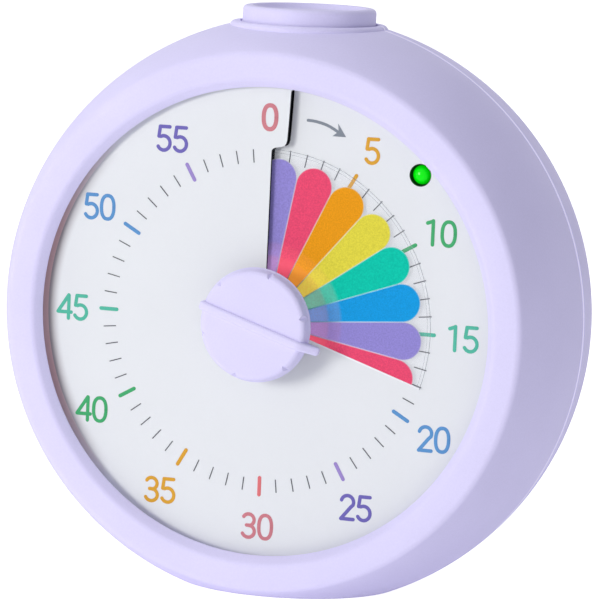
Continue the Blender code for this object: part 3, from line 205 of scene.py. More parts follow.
def toolObject(bm):
    mesh = bpy.data.meshes.new("tool")
    bm.to_mesh(mesh)
    bm.free()
    tool = bpy.data.objects.new("tool", mesh)
    scene.collection.objects.link(tool)
    return tool


def merged(*parts):
    whole = parts[0]
    for part in parts[1:]:
        mesh = bpy.data.meshes.new("part")
        part.to_mesh(mesh)
        part.free()
        whole.from_mesh(mesh)
        bpy.data.meshes.remove(mesh)
    return whole


def clock(radius, angle):
    # a dial point at an angle clockwise from 12
    turn = math.radians(angle)
    return Vector((radius * math.sin(turn), radius * math.cos(turn), 0))


def span(low, high, count):
    return [low + (high - low) * k / (count - 1) for k in range(count)]


# Materials

def shaderGroup(name, inputs, outputs):
    tree = bpy.data.node_groups.new(name, 'ShaderNodeTree')
    for label, kind, value in inputs:
        socket = tree.interface.new_socket(name=label, in_out='INPUT', socket_type=kind)
        socket.default_value = value
    for label, kind in outputs:
        tree.interface.new_socket(name=label, in_out='OUTPUT', socket_type=kind)
    return tree, tree.nodes.new('NodeGroupInput'), tree.nodes.new('NodeGroupOutput')


def makeGrainGroup():
    # fine moulding grain, with a broad drift of shade
    tree, source, sink = shaderGroup(
        "mouldingGrain", [("Grain Size", 'NodeSocketFloat', 0.25 * mm), ("Fine Share", 'NodeSocketFloat', 0.6)],
        [("Shade", 'NodeSocketFloat'), ("Roughness Drift", 'NodeSocketFloat'), ("Height", 'NodeSocketFloat')])
    place = tree.nodes.new('ShaderNodeTexCoord')
    perSize = tree.nodes.new('ShaderNodeMath')
    perSize.operation = 'DIVIDE'
    perSize.inputs[0].default_value = 1
    tree.links.new(source.outputs["Grain Size"], perSize.inputs[1])
    fine = tree.nodes.new('ShaderNodeTexNoise')
    fine.inputs["Detail"].default_value = 3
    fine.inputs["Roughness"].default_value = 0.6
    tree.links.new(place.outputs["Object"], fine.inputs["Vector"])
    tree.links.new(perSize.outputs[0], fine.inputs["Scale"])
    broad = tree.nodes.new('ShaderNodeTexNoise')
    broad.inputs["Scale"].default_value = 90
    broad.inputs["Detail"].default_value = 2
    tree.links.new(place.outputs["Object"], broad.inputs["Vector"])
    shade = tree.nodes.new('ShaderNodeMix')
    tree.links.new(source.outputs["Fine Share"], shade.inputs["Factor"])
    tree.links.new(broad.outputs["Fac"], shade.inputs["A"])
    tree.links.new(fine.outputs["Fac"], shade.inputs["B"])
    spread = tree.nodes.new('ShaderNodeMapRange')
    spread.inputs["From Min"].default_value = 0.3
    spread.inputs["From Max"].default_value = 0.7
    tree.links.new(shade.outputs["Result"], spread.inputs["Value"])
    gloss = tree.nodes.new('ShaderNodeMapRange')
    gloss.inputs["From Min"].default_value = 0.3
    gloss.inputs["From Max"].default_value = 0.7
    gloss.inputs["To Min"].default_value = -0.05
    gloss.inputs["To Max"].default_value = 0.05
    tree.links.new(broad.outputs["Fac"], gloss.inputs["Value"])
    tree.links.new(spread.outputs[0], sink.inputs["Shade"])
    tree.links.new(gloss.outputs[0], sink.inputs["Roughness Drift"])
    tree.links.new(fine.outputs["Fac"], sink.inputs["Height"])
    return tree


def makeBrushGroup():
    # short streaks along x, as drawn or rolled metal has
    tree, source, sink = shaderGroup(
        "drawnStreaks", [("Streak Size", 'NodeSocketFloat', 0.12 * mm)],
        [("Shade", 'NodeSocketFloat'), ("Height", 'NodeSocketFloat')])
    place = tree.nodes.new('ShaderNodeTexCoord')
    stretch = tree.nodes.new('ShaderNodeMapping')
    stretch.inputs["Scale"].default_value = (0.08, 1, 1)
    tree.links.new(place.outputs["Object"], stretch.inputs["Vector"])
    perSize = tree.nodes.new('ShaderNodeMath')
    perSize.operation = 'DIVIDE'
    perSize.inputs[0].default_value = 1
    tree.links.new(source.outputs["Streak Size"], perSize.inputs[1])
    streaks = tree.nodes.new('ShaderNodeTexNoise')
    streaks.inputs["Detail"].default_value = 2
    tree.links.new(stretch.outputs[0], streaks.inputs["Vector"])
    tree.links.new(perSize.outputs[0], streaks.inputs["Scale"])
    tree.links.new(streaks.outputs["Fac"], sink.inputs["Shade"])
    tree.links.new(streaks.outputs["Fac"], sink.inputs["Height"])
    return tree


grainGroup = makeGrainGroup()
brushGroup = makeBrushGroup()


def linear(colour):
    # 0 to 255 as seen, to the linear values that Blender keeps
    made = []
    for value in colour:
        share = value / 255
        made.append(share / 12.92 if share <= 0.04045 else ((share + 0.055) / 1.055) ** 2.4)
    return (*made, 1.0)


def newMaterial(name):
    material = bpy.data.materials.new(name)
    material.use_nodes = True
    tree = material.node_tree
    return material, tree, tree.nodes["Principled BSDF"]


def plastic(name, colour, roughness=0.45, grain=0.25 * mm, drift=0.03, bump=0.08, alpha=1.0, glow=None, gloss=0.5):
    # moulded or printed plastic: the shade drifts a little and the skin has a fine grain
    material, tree, shader = newMaterial(name)
    skin = tree.nodes.new('ShaderNodeGroup')
    skin.node_tree = grainGroup
    skin.inputs["Grain Size"].default_value = grain
    tint = tree.nodes.new('ShaderNodeMix')
    tint.data_type = 'RGBA'
    base = linear(colour)
    tint.inputs[6].default_value = tuple(min(1, c * (1 + drift)) for c in base[:3]) + (1,)
    tint.inputs[7].default_value = tuple(c * (1 - drift) for c in base[:3]) + (1,)
    tree.links.new(skin.outputs["Shade"], tint.inputs["Factor"])
    tree.links.new(tint.outputs[2], shader.inputs["Base Color"])
    rough = tree.nodes.new('ShaderNodeMath')
    rough.operation = 'ADD'
    rough.inputs[1].default_value = roughness
    tree.links.new(skin.outputs["Roughness Drift"], rough.inputs[0])
    tree.links.new(rough.outputs[0], shader.inputs["Roughness"])
    relief = tree.nodes.new('ShaderNodeBump')
    relief.inputs["Strength"].default_value = bump
    relief.inputs["Distance"].default_value = 0.05 * mm
    tree.links.new(skin.outputs["Height"], relief.inputs["Height"])
    tree.links.new(relief.outputs[0], shader.inputs["Normal"])
    shader.inputs["Specular IOR Level"].default_value = gloss
    shader.inputs["Alpha"].default_value = alpha
    if glow:
        shader.inputs["Emission Color"].default_value = linear(colour)
        shader.inputs["Emission Strength"].default_value = glow
    return material


def metal(name, colour, roughness=0.3, streak=0.12 * mm):
    material, tree, shader = newMaterial(name)
    skin = tree.nodes.new('ShaderNodeGroup')
    skin.node_tree = brushGroup
    skin.inputs["Streak Size"].default_value = streak
    tint = tree.nodes.new('ShaderNodeMix')
    tint.data_type = 'RGBA'
    base = linear(colour)
    tint.inputs[6].default_value = base
    tint.inputs[7].default_value = tuple(0.8 * c for c in base[:3]) + (1,)
    tree.links.new(skin.outputs["Shade"], tint.inputs["Factor"])
    tree.links.new(tint.outputs[2], shader.inputs["Base Color"])
    rough = tree.nodes.new('ShaderNodeMapRange')
    rough.inputs["To Min"].default_value = roughness - 0.08
    rough.inputs["To Max"].default_value = roughness + 0.12
    tree.links.new(skin.outputs["Shade"], rough.inputs["Value"])
    tree.links.new(rough.outputs[0], shader.inputs["Roughness"])
    relief = tree.nodes.new('ShaderNodeBump')
    relief.inputs["Strength"].default_value = 0.12
    relief.inputs["Distance"].default_value = 0.03 * mm
    tree.links.new(skin.outputs["Height"], relief.inputs["Height"])
    tree.links.new(relief.outputs[0], shader.inputs["Normal"])
    shader.inputs["Metallic"].default_value = 1
    return material


colours = {
    "lavender": (225, 220, 251),
    "lavenderDoor": (222, 217, 248),
    "dial": (231, 234, 234),
    # brown under the lip: partly the border's own colour, partly painted shade
    "border": (206, 174, 172),
    # the painted shadow of the lip on the dial
    "lipShadowGrey": (150, 144, 146),
    "dark": (24, 26, 34),
}
lavender = plastic("lavenderPlastic", colours["lavender"], roughness=0.55, grain=0.3 * mm, drift=0.03, bump=0.14,
                   gloss=0.3)
lavenderDoor = plastic("doorPlastic", colours["lavenderDoor"], roughness=0.55, grain=0.3 * mm, drift=0.03, bump=0.14,
                       gloss=0.3)


def alongX(tree, start, end):
    # 0 at one place along x and 1 at the other
    place = tree.nodes.new('ShaderNodeTexCoord')
    parts = tree.nodes.new('ShaderNodeSeparateXYZ')
    tree.links.new(place.outputs["Object"], parts.inputs[0])
    share = tree.nodes.new('ShaderNodeMapRange')
    share.inputs["From Min"].default_value = start
    share.inputs["From Max"].default_value = end
    tree.links.new(parts.outputs["X"], share.inputs["Value"])
    return share.outputs[0]


def awayFromAxis(tree, start, end):
    # 0 at one distance from the knob's axis and 1 at the other
    place = tree.nodes.new('ShaderNodeTexCoord')
    flat = tree.nodes.new('ShaderNodeVectorMath')
    flat.operation = 'MULTIPLY_ADD'
    flat.inputs[1].default_value = (1, 0, 1)
    flat.inputs[2].default_value = (-knobAxis.x, 0, -knobAxis.z)
    tree.links.new(place.outputs["Object"], flat.inputs[0])
    length = tree.nodes.new('ShaderNodeVectorMath')
    length.operation = 'LENGTH'
    tree.links.new(flat.outputs[0], length.inputs[0])
    share = tree.nodes.new('ShaderNodeMapRange')
    share.interpolation_type = 'SMOOTHSTEP'
    share.inputs["From Min"].default_value = start
    share.inputs["From Max"].default_value = end
    tree.links.new(length.outputs["Value"], share.inputs["Value"])
    return share.outputs[0]


def tinted(material, colour, factor):
    # lays a second colour over a finish where the factor says so
    tree = material.node_tree
    shader = tree.nodes["Principled BSDF"]
    fade = tree.nodes.new('ShaderNodeMix')
    fade.data_type = 'RGBA'
    fade.inputs[7].default_value = linear(colour)
    tree.links.new(shader.inputs["Base Color"].links[0].from_socket, fade.inputs[6])
    tree.links.new(factor, fade.inputs["Factor"])
    tree.links.new(fade.outputs[2], shader.inputs["Base Color"])


def dialFinish():
    # white, with a painted shadow of the lip: grey fading in from the border, on the left side that is seen past the
    # lip
    material = plastic("dialWhite", colours["dial"], roughness=0.55, grain=0.4 * mm, drift=0.008, bump=0.03, gloss=0.3)
    tree = material.node_tree
    # mask of the painted shadow: near the border, and on the left side only
    edge = tree.nodes.new('ShaderNodeMath')
    edge.operation = 'MULTIPLY'
    tree.links.new(awayFromAxis(tree, 34.1 * mm, 36.1 * mm), edge.inputs[0])
    tree.links.new(alongX(tree, -25 * mm, -34.5 * mm), edge.inputs[1])
    tinted(material, colours["lipShadowGrey"], edge.outputs[0])
    return material


def borderAndShadeFinish():
    # the dial's border is brown on the left side that is seen past the lip and fades to the dial's white towards the
    # right: partly the border's own colour, partly painted shade of the lip
    material = plastic("borderBrownAndShade", colours["border"], roughness=0.6, drift=0.03, bump=0.03, gloss=0.2)
    tinted(material, colours["dial"], alongX(material.node_tree, -34.5 * mm, -25 * mm))
    return material


dialWhite = dialFinish()
borderBrownAndShade = borderAndShadeFinish()
darkPlastic = plastic("darkPlastic", colours["dark"], roughness=0.6, drift=0.1, bump=0.05, gloss=0.1)
# painted highlight: lavender that glows a little, for the rear shell's rounded seam edge
seamGlowHighlight = plastic("seamGlowHighlight", colours["lavender"], roughness=0.3, grain=0.3 * mm, drift=0.02, bump=0.04, glow=0.3)
print("materials made")


# Case

def barrelR(height, inset=0.0):
    arc = case["arcR"] - inset
    return case["crownR"] - case["arcR"] + math.sqrt(arc ** 2 - (height - case["seamZ"]) ** 2)


def barrel(start, end, inset=0.0, count=14):
    return [(barrelR(height, inset), height) for height in span(start, end, count)]


collar = {
    "boreR": 10.9 * mm,
    "outerR": 12.4 * mm,
    "top": 45.6037 * mm,         # above the knob's axis
    "low": 38.8 * mm,
    "edge": 0.7 * mm,
    "wellR": 12.3 * mm,          # room under it for the button's flange
    "wellLow": 38.0237 * mm,
    "wellTop": 42.7037 * mm,
}
window = {
    "radius": 36.45 * mm,
    "chamfer": 1.2 * mm,
    "chamferDepth": 1.35 * mm,
    "lipZ": 1.75 * mm,           # the dial runs on under this lip
    "recessR": 37.6 * mm,
    "sleeve": 1.6 * mm,
    "sleeveEnd": -1.8 * mm,
}


def collarTools(frontHalf):
    # the collar of one half, and the tools that open it
    ring = spun(softCorners([(0, collar["top"]), (collar["outerR"], collar["top"], collar["edge"]),
                             (collar["outerR"], collar["low"]), (0, collar["low"])]), crownMatrix, steps=144)
    halfGap = case["seamGap"] / 2
    reach = 20 * mm
    if frontHalf:
        keep = block((-reach, 30 * mm, case["seamZ"] + halfGap), (reach, 60 * mm, case["seamZ"] + reach))
    else:
        keep = block((-reach, 30 * mm, case["seamZ"] - reach), (reach, 60 * mm, case["seamZ"] - halfGap))
    half = carved(ring, ('INTERSECT', keep))
    turnHalf = crownMatrix @ Matrix.Rotation(math.pi / 144, 4, 'Z')
    bore = rod(collar["boreR"], collar["low"] - 1 * mm, collar["top"] + 3 * mm, turnHalf, steps=144)
    well = rod(collar["wellR"], collar["wellLow"], collar["wellTop"], turnHalf, steps=144)
    return half, bore, well


def makeFrontShell():
    seam = case["seamZ"] + case["seamGap"] / 2
    front = case["frontZ"]
    chamferZ = front - window["chamferDepth"]
    sleeveR = window["radius"] + window["sleeve"]
    ceiling = front - case["wall"]
    outside = [(barrelR(seam), seam, 0.08 * mm)] + barrel(seam + 0.6 * mm, front - 1.2 * mm, count=20)
    outside += [(barrelR(front), front, 1.2 * mm)]
    inside = [(window["radius"] + window["chamfer"], front, 1.2 * mm), (window["radius"], chamferZ, 0.15 * mm),
              (window["radius"], window["lipZ"], 0.08 * mm), (window["recessR"], window["lipZ"], 0.2 * mm),
              (window["recessR"], window["sleeveEnd"]), (sleeveR, window["sleeveEnd"]),
              (sleeveR, ceiling), (barrelR(ceiling, case["wall"]), ceiling, 0.6 * mm)]
    inside += barrel(ceiling - 1.2 * mm, seam, inset=case["wall"], count=12)
    ring = spun(softCorners(outside + inside), closed=True)
    bulk = spun([(0, seam)] + [tuple(p) for p in softCorners([(0, seam)] + outside + [(0, front)])][1:])
    floor = carved(bulk, ('INTERSECT', block((-30 * mm, -case["footDrop"] - 5 * mm, seam - 1 * mm),
                                             (30 * mm, -case["footDrop"] + case["wall"], ceiling))))
    half, bore, well = collarTools(True)
    below = block((-60 * mm, -60 * mm, -20 * mm), (60 * mm, -case["footDrop"], 10 * mm))
    shell = carved(ring, ('UNION', floor), ('DIFFERENCE', below), ('UNION', half), ('DIFFERENCE', bore),
                   ('DIFFERENCE', well))
    piece = newPiece("frontShell", shell, lavender, sharp=38)
    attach(piece, "case")
    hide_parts("front_housing")
    return piece


makeFrontShell()
print("front shell made")

back = {
    "edge": 2.9 * mm,
    "tongueWall": 1.1 * mm,
    "tongueReach": 1.9 * mm,
    "fit": 0.3 * mm,
    "bayHalfX": 27.65 * mm,
    "bayHalfY": 15.05 * mm,
    "bayUp": -10.0 * mm,
    "bayWall": 1.6 * mm,
    "bayFloorZ": -17.0 * mm,
    "doorHalfX": 28.75 * mm,
    "doorLow": -26.15 * mm,
    "doorHigh": 6.15 * mm,
    "doorThick": 2.2 * mm,
    "postAngles": (60, 150, 210, 300),
    "postCircleR": 0.0,
    "sliderX": 20.0 * mm,
    "sliderUp": 16.15 * mm,
    "buzzerUp": 29.1037 * mm,
}
chassisR = barrelR(-2.4 * mm, case["wall"]) - 2.0 * mm
back["postCircleR"] = chassisR - 4.1 * mm


def roundedLoop(halfX, low, high, radius):
    return softCorners([(-halfX, low, radius), (halfX, low, radius), (halfX, high, radius), (-halfX, high, radius)],
                       arcSteps=6)


def makeRearShell():
    seam = case["seamZ"] - case["seamGap"] / 2
    backZ = case["backZ"]
    wallZ = backZ + case["wall"]
    outside = [(0, backZ), (barrelR(backZ), backZ, back["edge"])] + barrel(backZ + 2.8 * mm, seam - 0.6 * mm, count=16)
    outside += [(barrelR(seam), seam, 0.35 * mm), (0, seam)]
    bulk = spun(softCorners(outside, arcSteps=8))
    tongueR = barrelR(case["seamZ"], case["wall"]) - back["fit"]
    innerR = tongueR - back["tongueWall"] - back["fit"]
    stepZ = case["seamZ"] - 2 * back["tongueReach"]
    hollow = spun([(0, seam + 1 * mm), (innerR, seam + 1 * mm), (innerR, stepZ)]
                  + barrel(stepZ - 0.6 * mm, wallZ, inset=case["wall"], count=10) + [(0, wallZ)],
                  dialMatrix @ Matrix.Rotation(math.pi / case["steps"], 4, 'Z'))
    hollow = carved(hollow, ('DIFFERENCE', block((-60 * mm, -60 * mm, wallZ - 1 * mm),
                                                 (60 * mm, -case["footDrop"] + case["wall"], seam + 2 * mm))))
    below = block((-60 * mm, -60 * mm, backZ - 1 * mm), (60 * mm, -case["footDrop"], 0))
    half, bore, well = collarTools(False)
    bayX = back["bayHalfX"] + back["bayWall"]
    bayY = back["bayHalfY"] + back["bayWall"]
    bay = block((-bayX, back["bayUp"] - bayY, backZ + 1 * mm), (bayX, back["bayUp"] + bayY, back["bayFloorZ"] + 1.2 * mm))
    bayHollow = slab(roundedLoop(back["bayHalfX"], back["bayUp"] - back["bayHalfY"], back["bayUp"] + back["bayHalfY"],
                                 0.8 * mm), backZ - 1 * mm, back["bayFloorZ"])
    recess = slab(roundedLoop(back["doorHalfX"] + back["fit"], back["doorLow"] - back["fit"],
                              back["doorHigh"] + back["fit"], 0.5 * mm),
                  backZ - 1 * mm, backZ + back["doorThick"] + back["fit"])
    steps = [('DIFFERENCE', hollow), ('DIFFERENCE', below), ('UNION', half), ('UNION', bay), ('DIFFERENCE', bayHollow),
             ('DIFFERENCE', recess), ('DIFFERENCE', bore), ('DIFFERENCE', well)]
    for angle in back["postAngles"]:
        at = dialMatrix @ Matrix.Translation(clock(back["postCircleR"], angle))
        steps.append(('UNION', rod(2.9 * mm, backZ + 1 * mm, seam, at, steps=32)))
    for angle in back["postAngles"]:
        at = dialMatrix @ Matrix.Translation(clock(back["postCircleR"], angle))
        well = spun(softCorners([(0, backZ + 3.0 * mm), (2.3 * mm, backZ + 3.0 * mm), (2.3 * mm, backZ + 0.3 * mm),
                                 (2.6 * mm, backZ), (2.6 * mm, backZ - 1 * mm), (0, backZ - 1 * mm)]), at, steps=40)
        steps.append(('DIFFERENCE', well))
        steps.append(('DIFFERENCE', rod(1.2 * mm, backZ, seam + 1 * mm, at, steps=24)))
    for x, y in [(0, 0)] + [tuple(clock(3.5 * mm, 60 * k + 30)[:2]) for k in range(6)]:
        at = dialMatrix @ Matrix.Translation((x, back["buzzerUp"] + y, 0))
        steps.append(('DIFFERENCE', spun([(0, wallZ + 1 * mm), (0.9 * mm, wallZ + 1 * mm), (0.9 * mm, backZ + 0.25 * mm),
                                          (1.15 * mm, backZ), (1.15 * mm, backZ - 1 * mm), (0, backZ - 1 * mm)], at,
                                         steps=32)))
    for side in (-1, 1):
        at = dialMatrix @ Matrix.Translation((side * back["sliderX"], 0, 0))
        slot = slab(roundedLoop(3.7 * mm, back["sliderUp"] - 1.3 * mm, back["sliderUp"] + 1.3 * mm, 0.3 * mm),
                    backZ - 1 * mm, wallZ + 1 * mm, at)
        steps.append(('DIFFERENCE', slot))
    shell = carved(bulk, *steps)
    tongue = spun([(tongueR, case["seamZ"] + back["tongueReach"]), (tongueR, seam - 1 * mm),
                   (tongueR - back["tongueWall"], seam - 1 * mm),
                   (tongueR - back["tongueWall"], case["seamZ"] + back["tongueReach"])], closed=True)
    tongue = carved(tongue, ('DIFFERENCE', block((-60 * mm, -60 * mm, -30 * mm), (60 * mm, -41.0 * mm, 0))),
                    ('DIFFERENCE', block((-12.2 * mm, 20 * mm, -30 * mm), (12.2 * mm, 60 * mm, 0))))
    piece = newPiece("rearShell", merged(shell, tongue), [lavender, seamGlowHighlight], sharp=38)
    # the faces of the seam's rounded edge take the painted highlight
    crest = barrelR(seam)
    for face in piece.data.polygons:
        at = face.center - knobAxis
        if -at.y > seam - 0.36 * mm and math.hypot(at.x, at.z) > crest - 0.36 * mm:
            face.material_index = 1
    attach(piece, "case")
    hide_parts("rear_cover")
    return piece


makeRearShell()
print("rear shell made")

door = {"ribs": 7, "ribPitch": 1.6 * mm, "ribWidth": 0.7 * mm, "ribDepth": 0.35 * mm}


def makeDoor():
    # the leaf turns on pins at its lower edge and has a thumb grip by its top
    backZ = case["backZ"]
    innerZ = backZ + back["doorThick"]
    axisY = back["doorLow"] + back["doorThick"] / 2
    half = back["doorThick"] / 2
    side = [(axisY - half * math.sin(t), (backZ + innerZ) / 2 + half * math.cos(t)) for t in span(0, math.pi, 13)]
    side = [(back["doorHigh"], innerZ)] + side + [(back["doorHigh"], backZ)]
    leaf = bmesh.new()
    verts = [leaf.verts.new((-back["doorHalfX"], y, z)) for y, z in side]
    face = leaf.faces.new(verts)
    grown = bmesh.ops.extrude_face_region(leaf, geom=[face])
    bmesh.ops.translate(leaf, verts=[v for v in grown["geom"] if isinstance(v, bmesh.types.BMVert)],
                        vec=(2 * back["doorHalfX"], 0, 0))
    bmesh.ops.recalc_face_normals(leaf, faces=leaf.faces)
    corners = [e for e in leaf.edges if e.is_manifold and e.calc_face_angle() > 1.2]
    bmesh.ops.bevel(leaf, geom=corners, offset=0.25 * mm, segments=3, profile=0.5, affect='EDGES', material=-1)
    leaf.transform(dialMatrix)
    steps = []
    for k in range(door["ribs"]):
        y = back["doorHigh"] - 4.2 * mm - k * door["ribPitch"]
        width = 9 * mm - 0.6 * mm * k
        steps.append(('DIFFERENCE', block((-width, y - door["ribWidth"] / 2, backZ - 1 * mm),
                                          (width, y + door["ribWidth"] / 2, backZ + door["ribDepth"]), edge=0.12 * mm)))
    grip = spun(softCorners([(0, backZ + 1.1 * mm), (6.0 * mm, backZ - 0.6 * mm), (6.0 * mm, backZ - 2 * mm),
                             (0, backZ - 2 * mm)]),
                dialMatrix @ Matrix.Translation((0, back["doorHigh"] - 0.2 * mm, 0)) @ Matrix.Diagonal((1, 0.5, 1, 1)),
                steps=64)
    leaf = carved(leaf, ('DIFFERENCE', grip), *steps)
    pins = rod(0.5 * mm, -back["doorHalfX"] - 0.9 * mm, back["doorHalfX"] + 0.9 * mm,
               dialMatrix @ Matrix.Translation((0, axisY, (backZ + innerZ) / 2)) @ Matrix.Rotation(math.pi / 2, 4, 'Y'),
               steps=20)
    piece = newPiece("doorLeaf", merged(leaf, pins), lavenderDoor)
    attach(piece, "door")
    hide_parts("battery_door")


makeDoor()
print("battery door made")

button = {"radius": 10.5 * mm, "top": 48.1037 * mm, "edge": 0.7 * mm, "dish": 0.9 * mm, "skirtLow": 41.2037 * mm,
          "flange": 1.5 * mm, "wall": 1.2 * mm}


def makeButton():
    low, top = button["skirtLow"], button["top"]
    inner = button["radius"] - button["wall"]
    ceiling = top - button["dish"] - button["wall"]
    dish = [(share * (button["radius"] - 2.2 * mm), top - button["dish"] + 0.12 * button["dish"] * share ** 2)
            for share in span(0, 1, 12)]
    cap = spun(dish[:-1] + softCorners([dish[-2], (dish[-1][0], dish[-1][1], 0.4 * mm),
                                        (button["radius"] - 1.6 * mm, top, 0.25 * mm),
                                        (button["radius"], top, button["edge"]),
                                        (button["radius"], low + button["wall"]),
                                        (button["radius"] + button["flange"], low + button["wall"]),
                                        (button["radius"] + button["flange"], low), (inner, low), (inner, ceiling),
                                        (0, ceiling)])[1:], crownMatrix, steps=192)
    stem = rod(1.6 * mm, 37.5 * mm, ceiling + 0.5 * mm,
               Matrix.Translation((0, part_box("tact_plunger")[0].y / 2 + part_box("tact_plunger")[1].y / 2, knobAxis.z)),
               steps=32)
    piece = newPiece("buttonCap", merged(cap, stem), lavender)
    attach(piece, "button")
    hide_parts("button_cap")


makeButton()
print("button made")

knob = {
    "skirtR": 8.9 * mm, "faceR": 8.4 * mm, "faceZ": 6.5 * mm, "skirtZ": 4.4 * mm, "edge": 0.8 * mm,
    "stemR": 4.2 * mm, "stemZ": 2.6 * mm, "angle": 108.0,
    "ribWidth": 1.4 * mm, "ribTop": 7.1 * mm, "pointerR": 11.0 * mm,
    "notches": 6, "notchStart": 7.75 * mm, "notchFall": 1.5, "notchSlope": 0.75,
}


def notchCutter(turn, k):
    # a V whose floor falls from the face to the shoulder
    bm = bmesh.new()
    tall = 3 * mm
    half = knob["notchSlope"] * tall
    start, floor = knob["notchStart"], knob["faceZ"]
    face = bm.faces.new([bm.verts.new(co) for co in
                         ((0, start, floor), (half, start, floor + tall), (-half, start, floor + tall))])
    grown = bmesh.ops.extrude_face_region(bm, geom=[face])
    bmesh.ops.translate(bm, verts=[v for v in grown["geom"] if isinstance(v, bmesh.types.BMVert)],
                        vec=(0, 3 * mm, -3 * mm * knob["notchFall"]))
    bmesh.ops.recalc_face_normals(bm, faces=bm.faces)
    bm.transform(turn @ Matrix.Rotation(-math.radians((k + 0.5) * 360 / knob["notches"]), 4, 'Z'))
    return bm


def makeKnob():
    body = spun(softCorners([(0, knob["faceZ"]), (knob["faceR"], knob["faceZ"], knob["edge"]),
                             (knob["skirtR"] - 0.16 * mm, knob["skirtZ"] + 0.45 * mm, 0.12 * mm),
                             (knob["skirtR"], knob["skirtZ"] + 0.3 * mm, 0.1 * mm),
                             (knob["skirtR"], knob["skirtZ"], 0.1 * mm),
                             (knob["stemR"], knob["skirtZ"] - 0.2 * mm), (knob["stemR"], knob["stemZ"]),
                             (0, knob["stemZ"])]), steps=192)
    turn = dialMatrix @ Matrix.Rotation(-math.radians(knob["angle"]), 4, 'Z')
    # the rib's side view: y runs along the pointer, z to the viewer
    sideView = softCorners([(-knob["faceR"] - 0.6 * mm, 5.4 * mm), (-knob["faceR"] - 0.6 * mm, knob["ribTop"], 0.6 * mm),
                            (knob["faceR"] - 0.2 * mm, knob["ribTop"], 2.0 * mm), (knob["pointerR"], 5.2 * mm, 0.3 * mm),
                            (knob["pointerR"], 4.55 * mm), (knob["faceR"] - 1 * mm, 4.55 * mm)], arcSteps=6)
    rib = bmesh.new()
    face = rib.faces.new([rib.verts.new((-knob["ribWidth"] / 2, y, z)) for y, z in sideView])
    grown = bmesh.ops.extrude_face_region(rib, geom=[face])
    bmesh.ops.translate(rib, verts=[v for v in grown["geom"] if isinstance(v, bmesh.types.BMVert)],
                        vec=(knob["ribWidth"], 0, 0))
    bmesh.ops.recalc_face_normals(rib, faces=rib.faces)
    rims = [e for e in rib.edges if abs(e.verts[0].co.x - e.verts[1].co.x) < 1e-7]
    bmesh.ops.bevel(rib, geom=rims, offset=0.4 * mm, segments=5, profile=0.5, affect='EDGES', material=-1)
    rib.transform(turn)
    steps = [('DIFFERENCE', notchCutter(turn, k)) for k in range(knob["notches"])]
    steps.append(('UNION', rib))
    steps.append(('DIFFERENCE', rod(2.3 * mm, knob["stemZ"] - 1 * mm, 5.1 * mm, dialMatrix, steps=40)))
    piece = newPiece("knobCap", carved(body, *steps), lavender)
    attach(piece, "knob")
    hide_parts("knob")


makeKnob()
print("knob made")


# Dial

dial = {
    "step": 1.6 * mm, "thick": 0.5 * mm,
    # the slit's edge from the hub to the rim: radius in millimetres and clockwise angle
    "slit": [(6.2, 0.4), (12, 0.4), (20, 0.4), (26.4, 0.4), (26.75, 0.5), (26.98, 0.9), (27.12, 1.5), (27.22, 2.2),
             (27.3, 3.0), (27.42, 3.9), (27.6, 4.7), (27.95, 5.15), (28.5, 5.35), (31, 5.2), (33.5, 5.0), (36.08, 4.8),
             (37.35, 4.7)],
    "borderR": 36.08 * mm,       # a brown border under the lip, partly painted shade of the lip
    "steps": 300,
    "ledR": 34.08 * mm, "ledAngle": 44.4, "ledHoleR": 1.75 * mm,
    "printLift": 0.02 * mm, "printThick": 0.05 * mm,
}


def slitAngle(radius):
    edge = dial["slit"]
    for (low, start), (high, end) in zip(edge, edge[1:]):
        if radius <= high * mm:
            share = max(0, (radius / mm - low) / (high - low))
            return start + (end - start) * share
    return edge[-1][1]


def sheetAngle(x, y):
    # clockwise angle from 12, counted on from the slit's right lip to its left one
    angle = math.degrees(math.atan2(x, y)) % 360
    return angle + 360 if angle < slitAngle(math.hypot(x, y)) else angle


def dialHeight(angle):
    return dial["step"] * (angle / 360 - 0.5)


def climbed(bm, edge, lift, start=0.0):
    # sweeps a radial row of points one turn anticlockwise while it sinks
    verts = []
    for radius, angle in edge:
        at = clock(radius, angle)
        verts.append(bm.verts.new((at.x, at.y, lift + dialHeight(angle + start))))
    edges = [bm.edges.new(pair) for pair in zip(verts, verts[1:])]
    bmesh.ops.spin(bm, geom=verts + edges, cent=(0, 0, 0), axis=(0, 0, 1), angle=2 * math.pi, steps=dial["steps"],
                   dvec=(0, 0, -dial["step"] / dial["steps"]), use_merge=False)


def makeDial():
    bm = bmesh.new()
    climbed(bm, [(radius * mm, angle) for radius, angle in dial["slit"]], 0.0, start=360)
    bmesh.ops.recalc_face_normals(bm, faces=bm.faces)
    grown = bmesh.ops.extrude_face_region(bm, geom=bm.faces[:], use_keep_orig=True)
    lowered = [v for v in grown["geom"] if isinstance(v, bmesh.types.BMVert)]
    bmesh.ops.translate(bm, verts=lowered, vec=(0, 0, -dial["thick"]))
    bmesh.ops.recalc_face_normals(bm, faces=bm.faces)
    for f in bm.faces:
        inBorder = min(math.hypot(v.co.x, v.co.y) for v in f.verts) > dial["borderR"] - 0.02 * mm
        f.material_index = 2 if inBorder else 0 if f.normal.z > 0.5 else 1      # the slit's cut edge and the back are dark, partly their own colour and partly painted shade of the gap under the upper layer
    at = dialMatrix @ Matrix.Translation(clock(dial["ledR"], dial["ledAngle"]))
    bm.transform(dialMatrix)
    bm = carved(bm, ('DIFFERENCE', rod(dial["ledHoleR"], -3 * mm, 3 * mm, at, steps=48)))
    piece = newPiece("dialSheet", bm, [dialWhite, darkPlastic, borderBrownAndShade], sharp=40)
    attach(piece, "case")
    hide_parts("dial_plate")


makeDial()
print("dial made")


